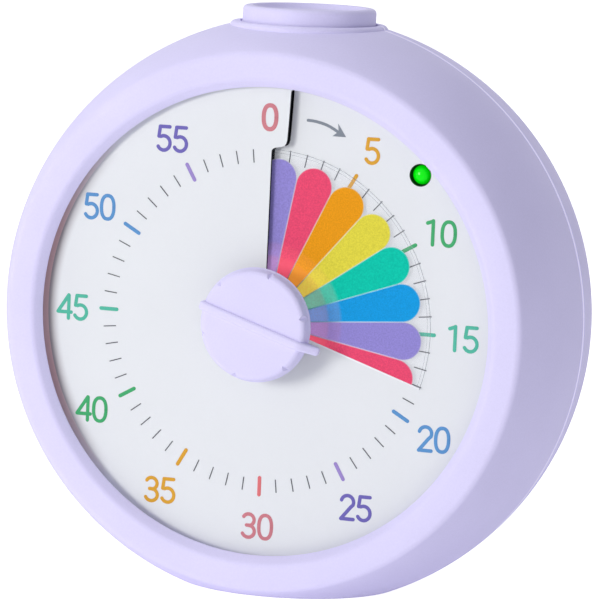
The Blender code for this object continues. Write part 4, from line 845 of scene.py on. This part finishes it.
def laidOnDial(bm, finest=1.2 * mm):
    # a flat print in millimetre places of the dial: cut fine enough to follow the climb, then lifted onto it
    bmesh.ops.triangulate(bm, faces=bm.faces)
    for _ in range(3):
        longEdges = [e for e in bm.edges if e.calc_length() > finest]
        if not longEdges:
            break
        bmesh.ops.subdivide_edges(bm, edges=longEdges, cuts=1)
        bmesh.ops.triangulate(bm, faces=bm.faces)
    for v in bm.verts:
        v.co.z += dial["printLift"] + dialHeight(sheetAngle(v.co.x, v.co.y))
    bm.transform(dialMatrix)


ink = {
    "red": (206, 126, 134), "amber": (221, 163, 50), "green": (66, 172, 108), "teal": (84, 188, 160),
    "blue": (92, 150, 203), "purple": (112, 103, 180), "line": (84, 86, 92), "arrow": (132, 140, 148),
}
inkOrder = ["red", "amber", "green", "teal", "blue", "purple"]
tickInk = dict(ink, red=(226, 118, 120), purple=(158, 138, 202))
ticks = {"thickIn": 0.882 * 27.5 * mm, "thickOut": 27.5 * mm, "thickWidth": 0.6 * mm,
         "thinIn": 0.90 * 27.5 * mm, "thinOut": 0.975 * 27.5 * mm, "thinWidth": 0.15 * mm}


def inkFinish(name, colour):
    return plastic(name, colour, roughness=0.5, drift=0.04, bump=0.03, gloss=0.15)


def printed(name, bm, finish):
    laidOnDial(bm)
    piece = newPiece(name, bm, finish, clean=False)
    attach(piece, "case")
    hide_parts("dial_plate")


def stroke(bm, points, width):
    # a pen line with round ends, a little thicker in its middle
    curve = bpy.data.curves.new("stroke", 'CURVE')
    curve.dimensions = '3D'
    curve.bevel_depth = width / 2
    curve.bevel_resolution = 2
    curve.use_fill_caps = True
    spline = curve.splines.new('POLY')
    spline.points.add(len(points) - 1)
    for point, at in zip(spline.points, points):
        point.co = (at[0], at[1], 0, 1)
    line = meshOfCurve(curve)
    for end in (points[0], points[-1]):
        bmesh.ops.create_uvsphere(line, u_segments=16, v_segments=6, radius=width / 2,
                                  matrix=Matrix.Translation((end[0], end[1], 0)))
    line.transform(Matrix.Diagonal((1, 1, dial["printThick"] / width, 1)))
    return merged(bm, line)


def makeTicks():
    thin = bmesh.new()
    thick = {name: bmesh.new() for name in inkOrder}
    for minute in range(1, 60):
        angle = 6 * minute
        if minute % 5:
            low, high, width = ticks["thinIn"], ticks["thinOut"], ticks["thinWidth"]
            bar = bmesh.new()
            bmesh.ops.create_cube(bar, size=1, matrix=Matrix.Rotation(-math.radians(angle), 4, 'Z')
                                  @ Matrix.Translation((0, (low + high) / 2, 0))
                                  @ Matrix.Diagonal((width, high - low, dial["printThick"], 1)))
            merged(thin, bar)
        else:
            inset = ticks["thickWidth"] / 2
            name = inkOrder[(minute // 5) % 6]
            ends = [clock(radius, angle) for radius in span(ticks["thickIn"] + inset, ticks["thickOut"] - inset, 3)]
            stroke(thick[name], ends, ticks["thickWidth"])
    printed("minuteMarks", thin, inkFinish("inkLine", ink["line"]))
    for name, bm in thick.items():
        printed("fiveMarks_" + name, bm, inkFinish("tickInk_" + name, tickInk[name]))


def arcPoints(centre, radii, start, end, count):
    # angles anticlockwise from the right
    return [(centre[0] + radii[0] * math.cos(math.radians(t)), centre[1] + radii[1] * math.sin(math.radians(t)))
            for t in span(start, end, count)]


numeral = {"stroke": 0.57, "boldStroke": 0.68, "pitch": 2.72}
# each digit's pen strokes in millimetres about its middle
digitStrokes = {
    "0": [[(1.04 * math.copysign(abs(math.cos(t)) ** 0.85, math.cos(t)),
            1.84 * math.copysign(abs(math.sin(t)) ** 0.85, math.sin(t))) for t in span(0, 2 * math.pi, 41)]],
    "1": [[(0.2, -1.84), (0.2, 1.84)], [(0.2, 1.8), (-0.25, 1.62), (-0.7, 1.45)]],
    "2": [arcPoints((0, 0.82), (1.0, 1.02), 165, -25, 16) + [(0.55, 0.05), (-0.98, -1.84)], [(-0.95, -1.83), (1.02, -1.84)]],
    "3": [arcPoints((-0.05, 0.92), (0.92, 0.92), 150, -80, 16), arcPoints((-0.05, -0.88), (1.02, 0.96), 85, -155, 18),
          [(-0.35, 0.06), (0.1, 0.06)]],
    "4": [[(0.66, 1.84), (-1.1, -0.85)], [(-1.06, -0.86), (1.13, -0.85)], [(0.7, 1.79), (0.68, -1.84)]],
    "5": [[(0.9, 1.84), (-0.7, 1.84)], [(-0.69, 1.81), (-0.88, 0.3)],
          [(-0.86, 0.33)] + arcPoints((-0.05, -0.72), (1.05, 1.12), 118, -150, 20)],
}
numeralPlaces = {
    "0": (-0.26, 31.77), "5": (16.0, 27.5), "10": (27.42, 15.69), "15": (31.71, -0.23), "20": (27.88, -16.06),
    "25": (15.83, -27.86), "30": (-0.14, -32.24), "35": (-16.42, -27.96), "40": (-28.26, -16.1),
    "45": (-31.98, -0.19), "50": (-27.96, 15.94), "55": (-16.19, 27.37),
}


def makeNumerals():
    for index, (label, centre) in enumerate(numeralPlaces.items()):
        name = inkOrder[index % 6]
        bm = bmesh.new()
        for k, digit in enumerate(label):
            across = (k - (len(label) - 1) / 2) * numeral["pitch"]
            for points in digitStrokes[digit]:
                placed = [((centre[0] + across + x) * mm, (centre[1] + y) * mm) for x, y in points]
                stroke(bm, placed, numeral["boldStroke" if label == "0" else "stroke"] * mm)
        printed("numeral_" + label, bm, inkFinish("ink_" + name + label, ink[name]))


arrow = {
    "shaft": [(5.4, 31.56), (6.1, 31.53), (6.8, 31.44), (7.6, 31.28), (8.4, 31.05), (9.1, 30.76), (9.75, 30.42),
              (10.45, 30.0)],
    "head": [(11.67, 29.36), (10.31, 31.36), (10.42, 30.16), (9.45, 29.38)],
    "width": 0.46 * mm,
}


def makeArrow():
    bm = bmesh.new()
    stroke(bm, [(x * mm, y * mm) for x, y in arrow["shaft"]], arrow["width"])
    head = slab([(x * mm, y * mm) for x, y in arrow["head"]], -dial["printThick"] / 2, dial["printThick"] / 2,
                Matrix.Identity(4))
    printed("directionArrow", merged(bm, head), inkFinish("arrowInk", ink["arrow"]))


makeTicks()
makeNumerals()
makeArrow()
print("prints made")


# Film disc

film = {
    "innerR": 4.6 * mm, "outerR": 26.8 * mm, "thick": 0.25 * mm, "float": 0.4 * mm, "lead": 108.5,
    "petals": 25, "pitch": 15.0, "firstMiddle": 108.1, "capCentre": 22.5 * mm, "gap": 0.22 * mm,
    "petalLift": 0.08 * mm, "petalThick": 0.05 * mm, "rimGap": 0.01 * mm, "rimLift": 0.025 * mm,
    # the width at the end of this row is that of the painted highlight along the leading edge, which the petals stop
    # short of
    "rimThick": 0.015 * mm, "leadHighlightWidth": 0.26 * mm,
    "order": ["pink", "purple", "blue", "teal", "yellow", "orange"],
    "hubBands": [(12.0 * mm, 12.8 * mm, 0.1), (10.0 * mm, 10.7 * mm, 0.14)],
    "glow": 0.45, "glowIn": 8.0 * mm, "glowOut": 13.5 * mm,
}
petalInk = {
    "pink": (236, 76, 112), "purple": (148, 138, 208), "blue": (16, 156, 222), "teal": (0, 200, 170),
    "yellow": (226, 216, 68), "orange": (236, 156, 18),
}


def filmHeight(angle):
    return dialHeight(angle) + film["float"] + film["thick"]


def lightThrough(material, alpha):
    # the film is thin: most of the light that falls on it reaches the dial
    tree = material.node_tree
    ray = tree.nodes.new('ShaderNodeLightPath')
    lit = tree.nodes.new('ShaderNodeMath')
    lit.operation = 'MAXIMUM'
    tree.links.new(ray.outputs["Is Shadow Ray"], lit.inputs[0])
    tree.links.new(ray.outputs["Is Diffuse Ray"], lit.inputs[1])
    cover = tree.nodes.new('ShaderNodeMapRange')
    cover.inputs["To Min"].default_value = alpha
    cover.inputs["To Max"].default_value = alpha * 0.12
    tree.links.new(lit.outputs[0], cover.inputs["Value"])
    tree.links.new(cover.outputs[0], tree.nodes["Principled BSDF"].inputs["Alpha"])


def filmMaterial(name, colour, alpha):
    material = plastic(name, colour, roughness=0.35, grain=0.3 * mm, drift=0.02, bump=0.05, gloss=0.2)
    lightThrough(material, alpha)
    return material


def makeRadialGroup():
    # distance from the knob's axis, from object coordinates
    tree, source, sink = shaderGroup("hubDistance", [("Inner", 'NodeSocketFloat', 0.009), ("Outer", 'NodeSocketFloat', 0.012)],
                                     [("Near Hub", 'NodeSocketFloat'), ("Distance", 'NodeSocketFloat')])
    place = tree.nodes.new('ShaderNodeTexCoord')
    centre = tree.nodes.new('ShaderNodeMapping')
    centre.inputs["Location"].default_value = (-knobAxis.x, 0, -knobAxis.z)
    centre.inputs["Scale"].default_value = (1, 0, 1)
    tree.links.new(place.outputs["Object"], centre.inputs["Vector"])
    length = tree.nodes.new('ShaderNodeVectorMath')
    length.operation = 'LENGTH'
    tree.links.new(centre.outputs[0], length.inputs[0])
    near = tree.nodes.new('ShaderNodeMapRange')
    near.interpolation_type = 'SMOOTHSTEP'
    near.inputs["To Min"].default_value = 1
    near.inputs["To Max"].default_value = 0
    tree.links.new(length.outputs["Value"], near.inputs["Value"])
    tree.links.new(source.outputs["Inner"], near.inputs["From Min"])
    tree.links.new(source.outputs["Outer"], near.inputs["From Max"])
    tree.links.new(near.outputs[0], sink.inputs["Near Hub"])
    tree.links.new(length.outputs["Value"], sink.inputs["Distance"])
    return tree


radialGroup = makeRadialGroup()


def petalMaterial(name, colour):
    # speckled print, a little warmer by the hub, where it also has a painted glow
    material, tree, shader = newMaterial("petal_" + name)
    base = linear(colour)
    skin = tree.nodes.new('ShaderNodeGroup')
    skin.node_tree = grainGroup
    skin.inputs["Grain Size"].default_value = 0.24 * mm
    skin.inputs["Fine Share"].default_value = 1.0
    grainy = tree.nodes.new('ShaderNodeMix')
    grainy.data_type = 'RGBA'
    grainy.inputs[6].default_value = tuple(min(1, c * 1.12 + 0.002) for c in base[:3]) + (1,)
    grainy.inputs[7].default_value = tuple(c * 0.88 for c in base[:3]) + (1,)
    tree.links.new(skin.outputs["Shade"], grainy.inputs["Factor"])
    shown = grainy.outputs[2]
    for inner, outer, strength in film["hubBands"]:
        hubward = tree.nodes.new('ShaderNodeGroup')
        hubward.node_tree = radialGroup
        hubward.inputs["Inner"].default_value = inner
        hubward.inputs["Outer"].default_value = outer
        share = tree.nodes.new('ShaderNodeMath')
        share.operation = 'MULTIPLY'
        share.inputs[1].default_value = strength
        tree.links.new(hubward.outputs["Near Hub"], share.inputs[0])
        warm = tree.nodes.new('ShaderNodeMix')
        warm.data_type = 'RGBA'
        warm.inputs[7].default_value = linear((240, 120, 104))
        tree.links.new(share.outputs[0], warm.inputs["Factor"])
        tree.links.new(shown, warm.inputs[6])
        shown = warm.outputs[2]
    tree.links.new(shown, shader.inputs["Base Color"])
    tree.links.new(shown, shader.inputs["Emission Color"])
    # painted light: the petals glow near the hub, which keeps the knob's shadow off them
    near = tree.nodes.new('ShaderNodeGroup')
    near.node_tree = radialGroup
    near.inputs["Inner"].default_value = film["glowIn"]
    near.inputs["Outer"].default_value = film["glowOut"]
    glow = tree.nodes.new('ShaderNodeMath')
    glow.operation = 'MULTIPLY'
    glow.inputs[1].default_value = film["glow"]
    tree.links.new(near.outputs["Near Hub"], glow.inputs[0])
    tree.links.new(glow.outputs[0], shader.inputs["Emission Strength"])
    shader.inputs["Roughness"].default_value = 0.5
    shader.inputs["Specular IOR Level"].default_value = 0.05
    lightThrough(material, 0.93)
    return material


def makeFilm():
    bm = bmesh.new()
    climbed(bm, [(radius, film["lead"]) for radius in span(film["innerR"], film["outerR"], 5)], film["float"] + film["thick"])
    grown = bmesh.ops.extrude_face_region(bm, geom=bm.faces[:], use_keep_orig=True)
    bmesh.ops.translate(bm, verts=[v for v in grown["geom"] if isinstance(v, bmesh.types.BMVert)],
                        vec=(0, 0, -film["thick"]))
    bmesh.ops.recalc_face_normals(bm, faces=bm.faces)
    bm.transform(dialMatrix)
    top = filmHeight(film["lead"]) + 0.2 * mm
    bottom = filmHeight(film["lead"] - 360) - film["thick"] - 0.2 * mm
    hub = spun([(4.6 * mm, top), (4.6 * mm, bottom), (2.3 * mm, bottom), (2.3 * mm, top)], steps=64, closed=True)
    piece = newPiece("filmSheet", merged(bm, hub), filmMaterial("clearFilm", (214, 219, 224), 0.04))
    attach(piece, "disc")
    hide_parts("rainbow_disc")


def petalHalfWidth(radius, gap):
    # straight sides up to where they touch the round cap
    alpha = math.radians(film["pitch"] / 2)
    capR = film["capCentre"] * math.sin(alpha) - gap / 2
    touch = film["capCentre"] - capR * math.sin(alpha)
    if radius < touch:
        return radius * math.tan(alpha) - gap / 2 / math.cos(alpha)
    return math.sqrt(max(0, capR ** 2 - (radius - film["capCentre"]) ** 2))


def petalShape(middle, gap, lift, thick):
    alpha = math.radians(film["pitch"] / 2)
    tip = film["capCentre"] + film["capCentre"] * math.sin(alpha) - gap / 2
    bm = bmesh.new()
    bmesh.ops.create_grid(bm, x_segments=6, y_segments=40, size=1)
    low = film["innerR"] + 0.1 * mm
    for v in bm.verts:
        share = (v.co.y + 1) / 2
        radius = low + (tip - low) * math.sin(share * math.pi / 2)
        v.co = (v.co.x * petalHalfWidth(radius, gap), radius, 0)
    bmesh.ops.remove_doubles(bm, verts=bm.verts, dist=0.5e-6)
    bm.transform(Matrix.Rotation(-math.radians(middle), 4, 'Z'))
    for end, side, inset in ((film["lead"], 1, film["leadHighlightWidth"]), (film["lead"] - 360, -1, 0.0)):
        if abs(middle - end) < film["pitch"]:
            across = clock(1, end + 90)      # clockwise of the edge
            bmesh.ops.bisect_plane(bm, geom=bm.verts[:] + bm.edges[:] + bm.faces[:], dist=1e-7,
                                   plane_co=across * (-side * inset), plane_no=across * side, clear_outer=True)
    for v in bm.verts:
        away = (math.degrees(math.atan2(v.co.x, v.co.y)) - middle + 180) % 360 - 180
        v.co.z = dialHeight(middle + away) + film["float"] + film["thick"] + lift
    grown = bmesh.ops.extrude_face_region(bm, geom=bm.faces[:], use_keep_orig=True)
    bmesh.ops.translate(bm, verts=[v for v in grown["geom"] if isinstance(v, bmesh.types.BMVert)],
                        vec=(0, 0, -thick))
    bm.transform(dialMatrix)
    return bm


def makePetals():
    parts = {name: bmesh.new() for name in film["order"]}
    rims = {name: bmesh.new() for name in film["order"]}
    for k in range(film["petals"]):
        middle = film["firstMiddle"] - film["pitch"] * k
        name = film["order"][k % 6]
        merged(parts[name], petalShape(middle, film["gap"], film["petalLift"], film["petalThick"]))
        merged(rims[name], petalShape(middle, film["rimGap"], film["rimLift"], film["rimThick"]))
    pieces = [newPiece("petals_" + name, bm, petalMaterial(name, petalInk[name])) for name, bm in parts.items()]
    for name, bm in rims.items():
        paler = tuple(value + (255 - value) * 0.5 for value in petalInk[name])
        pieces.append(newPiece("petalRims_" + name, bm, filmMaterial("petalRim_" + name, paler, 0.7)))
    for piece in pieces:
        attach(piece, "disc")
        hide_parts("rainbow_disc")


def filmStrip(name, radii, angles, lift, thick, finish):
    # a narrow band on the film between two radii and two angles
    bm = bmesh.new()
    count = max(2, int(abs(angles[1] - angles[0]) / 1.5) + 1)
    verts = []
    for radius in radii:
        at = clock(radius, angles[0])
        verts.append(bm.verts.new((at.x, at.y, dialHeight(angles[0]) + lift)))
    edge = bm.edges.new(verts)
    turn = math.radians(angles[0] - angles[1])
    bmesh.ops.spin(bm, geom=verts + [edge], cent=(0, 0, 0), axis=(0, 0, 1), angle=turn, steps=count,
                   dvec=(0, 0, (dialHeight(angles[1]) - dialHeight(angles[0])) / count), use_merge=False)
    grown = bmesh.ops.extrude_face_region(bm, geom=bm.faces[:], use_keep_orig=True)
    bmesh.ops.translate(bm, verts=[v for v in grown["geom"] if isinstance(v, bmesh.types.BMVert)], vec=(0, 0, -thick))
    bm.transform(dialMatrix)
    piece = newPiece(name, bm, finish)
    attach(piece, "disc")
    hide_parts("rainbow_disc")


def makeFilmEdges():
    top = film["float"] + film["thick"]
    whole = (film["lead"], film["lead"] - 360)
    # painted highlight: a white strip that stands for the lit cut edge along the film's leading edge
    white = plastic("filmEdgeHighlight", (250, 251, 252), roughness=0.35, drift=0.01, bump=0.02)
    filmStrip("filmRimLine", (26.73 * mm, 26.80 * mm), whole, top + 0.02 * mm, 0.04 * mm,
              filmMaterial("filmLine", (130, 140, 146), 0.5))
    filmStrip("filmInnerLine", (26.25 * mm, 26.31 * mm), whole, top + 0.02 * mm, 0.04 * mm,
              filmMaterial("filmFineLine", (150, 158, 164), 0.25))
    bm = block((-0.0, film["innerR"], -0.06 * mm), (film["leadHighlightWidth"] - 0.04 * mm, film["outerR"] - 0.1 * mm, 0.05 * mm),
               Matrix.Translation((0, 0, filmHeight(film["lead"]))), edge=0.02 * mm)
    bm.transform(Matrix.Scale(-1, 4, (1, 0, 0)))
    bmesh.ops.recalc_face_normals(bm, faces=bm.faces)
    bm.transform(dialMatrix @ Matrix.Rotation(-math.radians(film["lead"]), 4, 'Z'))
    piece = newPiece("filmLeadEdgeHighlight", bm, white)
    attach(piece, "disc")
    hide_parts("rainbow_disc")


makeFilm()
makePetals()
makeFilmEdges()
print("film disc made")

lamp = {"radius": 1.5 * mm, "tipZ": -0.7 * mm, "bulge": 0.72, "low": -5.3 * mm, "flangeR": 1.8 * mm,
        "flange": 1.0 * mm, "wellTop": -0.64 * mm, "wellLow": -2.6 * mm, "wellR": 1.74 * mm, "wellInner": 1.66 * mm}


def makeLamp():
    at = dialMatrix @ Matrix.Translation(clock(dial["ledR"], dial["ledAngle"]))
    dome = [(lamp["radius"] * math.sin(t), lamp["tipZ"] - lamp["radius"] * lamp["bulge"] * (1 - math.cos(t)))
            for t in span(0, math.pi / 2, 12)]
    body = spun(dome + [(lamp["radius"], lamp["low"] + lamp["flange"]), (lamp["flangeR"], lamp["low"] + lamp["flange"]),
                        (lamp["flangeR"], lamp["low"]), (0, lamp["low"])], at, steps=48)
    wires = []
    for side in (-1, 1):
        wireAt = at @ Matrix.Rotation(-math.radians(dial["ledAngle"]), 4, 'Z') @ Matrix.Translation((side * 1.27 * mm, 0, 0))
        wires.append(rod(0.25 * mm, -8.7 * mm, lamp["low"] + 0.2 * mm, wireAt, steps=10))
    piece = newPiece("lampDome", merged(body, *wires),
                     plastic("greenLens", (0, 222, 10), roughness=0.14, drift=0.02, bump=0.0, glow=0.32, gloss=0.2))
    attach(piece, "case")
    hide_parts("led_lamp")
    # the well's dark green stands for the LED's green light and the shade on the hole's wall: painted light and shade
    ring = spun([(lamp["wellR"], lamp["wellTop"]), (lamp["wellR"], lamp["wellLow"]),
                 (lamp["radius"] + 0.02 * mm, lamp["wellLow"]), (lamp["radius"] + 0.02 * mm, lamp["wellLow"] + 0.3 * mm),
                 (lamp["wellInner"], lamp["wellLow"] + 0.3 * mm), (lamp["wellInner"], lamp["wellTop"])], at,
                steps=48, closed=True)
    piece = newPiece("lampWell", ring, plastic("lampWellGreenShade", (10, 56, 24), roughness=0.5, gloss=0.2))
    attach(piece, "case")
    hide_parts("led_lamp")


makeLamp()
print("lamp made")


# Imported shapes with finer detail, and the materials of those that stay as they are

def packedShape(name):
    bm = bmesh.new()
    bm.from_mesh(nodes[name].data)
    bm.transform(nodes[name].matrix_world)
    return bm


def makeSliders():
    finish = plastic("sliderBlack", (44, 44, 50))
    for label in ("volume", "alarm"):
        name = label + "_slider"
        low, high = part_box(name)
        middle = (low + high) / 2
        grooves = [('DIFFERENCE', block((middle.x + shift - 0.17 * mm, high.y - 0.3 * mm, low.z - 1 * mm),
                                        (middle.x + shift + 0.17 * mm, high.y + 1 * mm, high.z + 1 * mm),
                                        Matrix.Identity(4)))
                   for shift in (-0.78 * mm, 0, 0.78 * mm)]
        piece = newPiece(label + "SliderRidged", carved(packedShape(name), *grooves), finish, sharp=30)
        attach(piece, name)
        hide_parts(name)


def makeCoverScrews():
    finish = metal("coverScrewSteel", (178, 180, 186), roughness=0.3)
    for number in range(1, 5):
        name = "cover_screw_%d" % number
        low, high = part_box(name)
        middle = (low + high) / 2
        at = Matrix.Translation((middle.x, high.y, middle.z)) @ Matrix.Rotation(math.radians(24 * number), 4, 'Y')
        arms = [('DIFFERENCE', block((-half, -0.75 * mm, -tall), (half, 1 * mm, tall), at))
                for half, tall in ((1.25 * mm, 0.32 * mm), (0.32 * mm, 1.25 * mm))]
        piece = newPiece("coverScrewCross%d" % number, carved(packedShape(name), *arms), finish, sharp=30)
        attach(piece, "case")
        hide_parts(name)


def cellFinish(name, plusSide):
    # a wrapped cell: dark sleeve, a copper band by the plus end and bare steel ends
    material = metal(name, (250, 250, 250), roughness=0.38)
    tree = material.node_tree
    shader = tree.nodes["Principled BSDF"]
    bands = tree.nodes.new('ShaderNodeValToRGB')
    ramp = bands.color_ramp
    ramp.interpolation = 'CONSTANT'
    ramp.elements[0].color = linear((190, 192, 196))
    ramp.elements[1].position = 0.972
    ramp.elements[1].color = linear((190, 192, 196))
    ramp.elements.new(0.066).color = linear((44, 46, 54))
    ramp.elements.new(0.7).color = linear((206, 138, 76))
    tree.links.new(alongX(tree, -26.65 * mm * plusSide, 26.65 * mm * plusSide), bands.inputs[0])
    wrap = tree.nodes.new('ShaderNodeMix')
    wrap.data_type = 'RGBA'
    wrap.blend_type = 'MULTIPLY'
    wrap.inputs["Factor"].default_value = 1
    tree.links.new(shader.inputs["Base Color"].links[0].from_socket, wrap.inputs[6])
    tree.links.new(bands.outputs["Color"], wrap.inputs[7])
    tree.links.new(wrap.outputs[2], shader.inputs["Base Color"])
    return material


def makeCells():
    cell = {"radius": 7.25 * mm, "low": -23.85 * mm, "shoulder": 25.65 * mm, "tip": 26.65 * mm, "nubR": 2.75 * mm}
    for number, side in ((1, 1), (2, -1)):
        name = "battery_%d" % number
        low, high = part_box(name)
        middle = (low + high) / 2
        outline = softCorners([(0, cell["low"]), (cell["radius"], cell["low"], 0.7 * mm),
                               (cell["radius"], cell["shoulder"], 0.9 * mm), (cell["nubR"], cell["shoulder"]),
                               (cell["nubR"], cell["tip"], 0.3 * mm), (0, cell["tip"])])
        at = Matrix.Translation((0, middle.y, middle.z)) @ Matrix.Rotation(side * math.pi / 2, 4, 'Y')
        piece = newPiece("cell%d" % number, spun(outline, at, steps=96), cellFinish("cellWrap%d" % number, side))
        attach(piece, "case")
        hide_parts(name)


makeSliders()
makeCoverScrews()
makeCells()
print("sliders, cover screws and cells made")

keptFinish = {
    "tact_plunger": plastic("plungerRed", (200, 60, 50)),
    "tact_switch": plastic("switchBlack", (38, 38, 42)),
    "dial_spacer_ring": plastic("spacerDark", (34, 35, 42)),
    "knob_shaft": plastic("shaftWhite", (214, 214, 212)),
    "main_gear": plastic("gearCream", (226, 222, 204)),
    "middle_gear": plastic("gearCream2", (222, 220, 206)),
    "motor_rotor": plastic("rotorGrey", (84, 84, 90)),
    "motor_stator": metal("laminationSteel", (150, 150, 156)),
    "motor_coil": metal("coilCopper", (190, 112, 62), streak=0.2 * mm),
    "movement_case": plastic("movementDark", (66, 66, 72)),
    "chassis_plate": plastic("chassisDark", (30, 31, 38)),
    "circuit_board": plastic("boardGreen", (24, 104, 62), roughness=0.35),
    "buzzer": plastic("buzzerBlack", (28, 28, 32)),
    "rear_board": plastic("boardGreen2", (24, 104, 62), roughness=0.35),
    "volume_switch": metal("switchSteel", (176, 178, 184)),
    "alarm_switch": metal("switchSteel2", (176, 178, 184)),
    "contact_plate_1": metal("contactNickel", (206, 206, 204)),
    "contact_plate_2": metal("contactNickel2", (206, 206, 204)),
    "contact_spring_1": metal("springNickel", (206, 206, 204)),
    "contact_spring_2": metal("springNickel2", (206, 206, 204)),
}
screwSteel = metal("screwSteel", (190, 192, 196), roughness=0.28)
for name, node in nodes.items():
    if name in keptFinish or ("screw" in name and "cover" not in name):
        node.data.materials.clear()
        node.data.materials.append(keptFinish.get(name, screwSteel))
print("kept pieces finished")


# Stage, light and camera

def makeFloor():
    bm = bmesh.new()
    bmesh.ops.create_grid(bm, x_segments=2, y_segments=2, size=3)
    mesh = bpy.data.meshes.new("floor")
    bm.to_mesh(mesh)
    bm.free()
    floor = bpy.data.objects.new("floor", mesh)
    scene.collection.objects.link(floor)
    material, tree, shader = newMaterial("floorWhite")
    shader.inputs["Base Color"].default_value = (0.94, 0.94, 0.95, 1)
    shader.inputs["Roughness"].default_value = 0.9
    shader.inputs["Specular IOR Level"].default_value = 0.1
    ray = tree.nodes.new('ShaderNodeLightPath')
    lift = tree.nodes.new('ShaderNodeMapRange')
    lift.inputs["To Min"].default_value = light["floorGlow"]
    lift.inputs["To Max"].default_value = light["floorSeen"]
    tree.links.new(ray.outputs["Is Camera Ray"], lift.inputs["Value"])
    shader.inputs["Emission Color"].default_value = (1, 1, 1, 1)
    tree.links.new(lift.outputs[0], shader.inputs["Emission Strength"])
    mesh.materials.append(material)


def areaLight(name, place, target, size, power, colour=(1, 1, 1)):
    light = bpy.data.lights.new(name, 'AREA')
    light.shape = 'DISK'
    light.size = size
    light.energy = power
    light.color = colour
    lampObject = bpy.data.objects.new(name, light)
    lampObject.location = place
    lampObject.rotation_euler = (Vector(target) - Vector(place)).to_track_quat('-Z', 'Y').to_euler()
    scene.collection.objects.link(lampObject)


def makeWorld():
    world = bpy.data.worlds.new("studio")
    world.use_nodes = True
    scene.world = world
    tree = world.node_tree
    backdrop = tree.nodes["Background"]
    tone = tree.nodes.new('ShaderNodeMix')
    tone.data_type = 'RGBA'
    tone.inputs[6].default_value = light["skyTone"]
    tone.inputs[7].default_value = (1, 1, 1, 1)
    tree.links.new(tone.outputs[2], backdrop.inputs["Color"])
    ray = tree.nodes.new('ShaderNodeLightPath')
    seen = tree.nodes.new('ShaderNodeMath')
    seen.operation = 'ADD'
    tree.links.new(ray.outputs["Is Camera Ray"], seen.inputs[0])
    tree.links.new(ray.outputs["Is Glossy Ray"], seen.inputs[1])
    through = tree.nodes.new('ShaderNodeMath')
    through.operation = 'ADD'
    through.use_clamp = True
    tree.links.new(seen.outputs[0], through.inputs[0])
    tree.links.new(ray.outputs["Is Transmission Ray"], through.inputs[1])
    strength = tree.nodes.new('ShaderNodeMapRange')
    strength.inputs["To Min"].default_value = light["ambient"]
    strength.inputs["To Max"].default_value = 1.0
    tree.links.new(through.outputs[0], strength.inputs["Value"])
    tree.links.new(through.outputs[0], tone.inputs["Factor"])
    tree.links.new(strength.outputs[0], backdrop.inputs["Strength"])


light = {"ambient": 0.43, "skyTone": (0.96, 0.96, 1.12, 1), "floorGlow": 0.2, "floorSeen": 0.8,
         "keyPlace": (-0.54, -0.97, 0.2), "keySize": 0.37, "keyPower": 5.1, "keyTone": (1, 0.99, 0.96),
         "topPlace": (-0.3, 0.02, 0.86), "topSize": 0.5, "topPower": 1.6}
makeFloor()
makeWorld()
areaLight("keyLight", light["keyPlace"], (0, 0, 0.045), light["keySize"], light["keyPower"], light["keyTone"])
areaLight("topLight", light["topPlace"], (0, 0, 0.045), light["topSize"], light["topPower"])

view = {"azimuth": 18.573, "elevation": 7.313, "roll": 2.252, "distance": 0.66, "lens": 255.75,
        "right": 5.332 * mm, "up": 3.327 * mm}


def makeCamera():
    azimuth, elevation, roll = (math.radians(view[k]) for k in ("azimuth", "elevation", "roll"))
    forward = Vector((-math.sin(azimuth) * math.cos(elevation), math.cos(azimuth) * math.cos(elevation),
                      -math.sin(elevation)))
    level = forward.cross(Vector((0, 0, 1))).normalized()
    upright = level.cross(forward)
    right = level * math.cos(roll) + upright * math.sin(roll)
    up = upright * math.cos(roll) - level * math.sin(roll)
    place = knobAxis + right * view["right"] + up * view["up"] - forward * view["distance"]
    data = bpy.data.cameras.new("camera")
    data.sensor_width = 36
    data.lens = view["lens"]
    camera = bpy.data.objects.new("camera", data)
    camera.matrix_world = Matrix.Translation(place) @ Matrix((right, up, -forward)).transposed().to_4x4()
    scene.collection.objects.link(camera)
    scene.camera = camera


makeCamera()
scene.view_settings.view_transform = 'Standard'
print("stage, light and camera made")
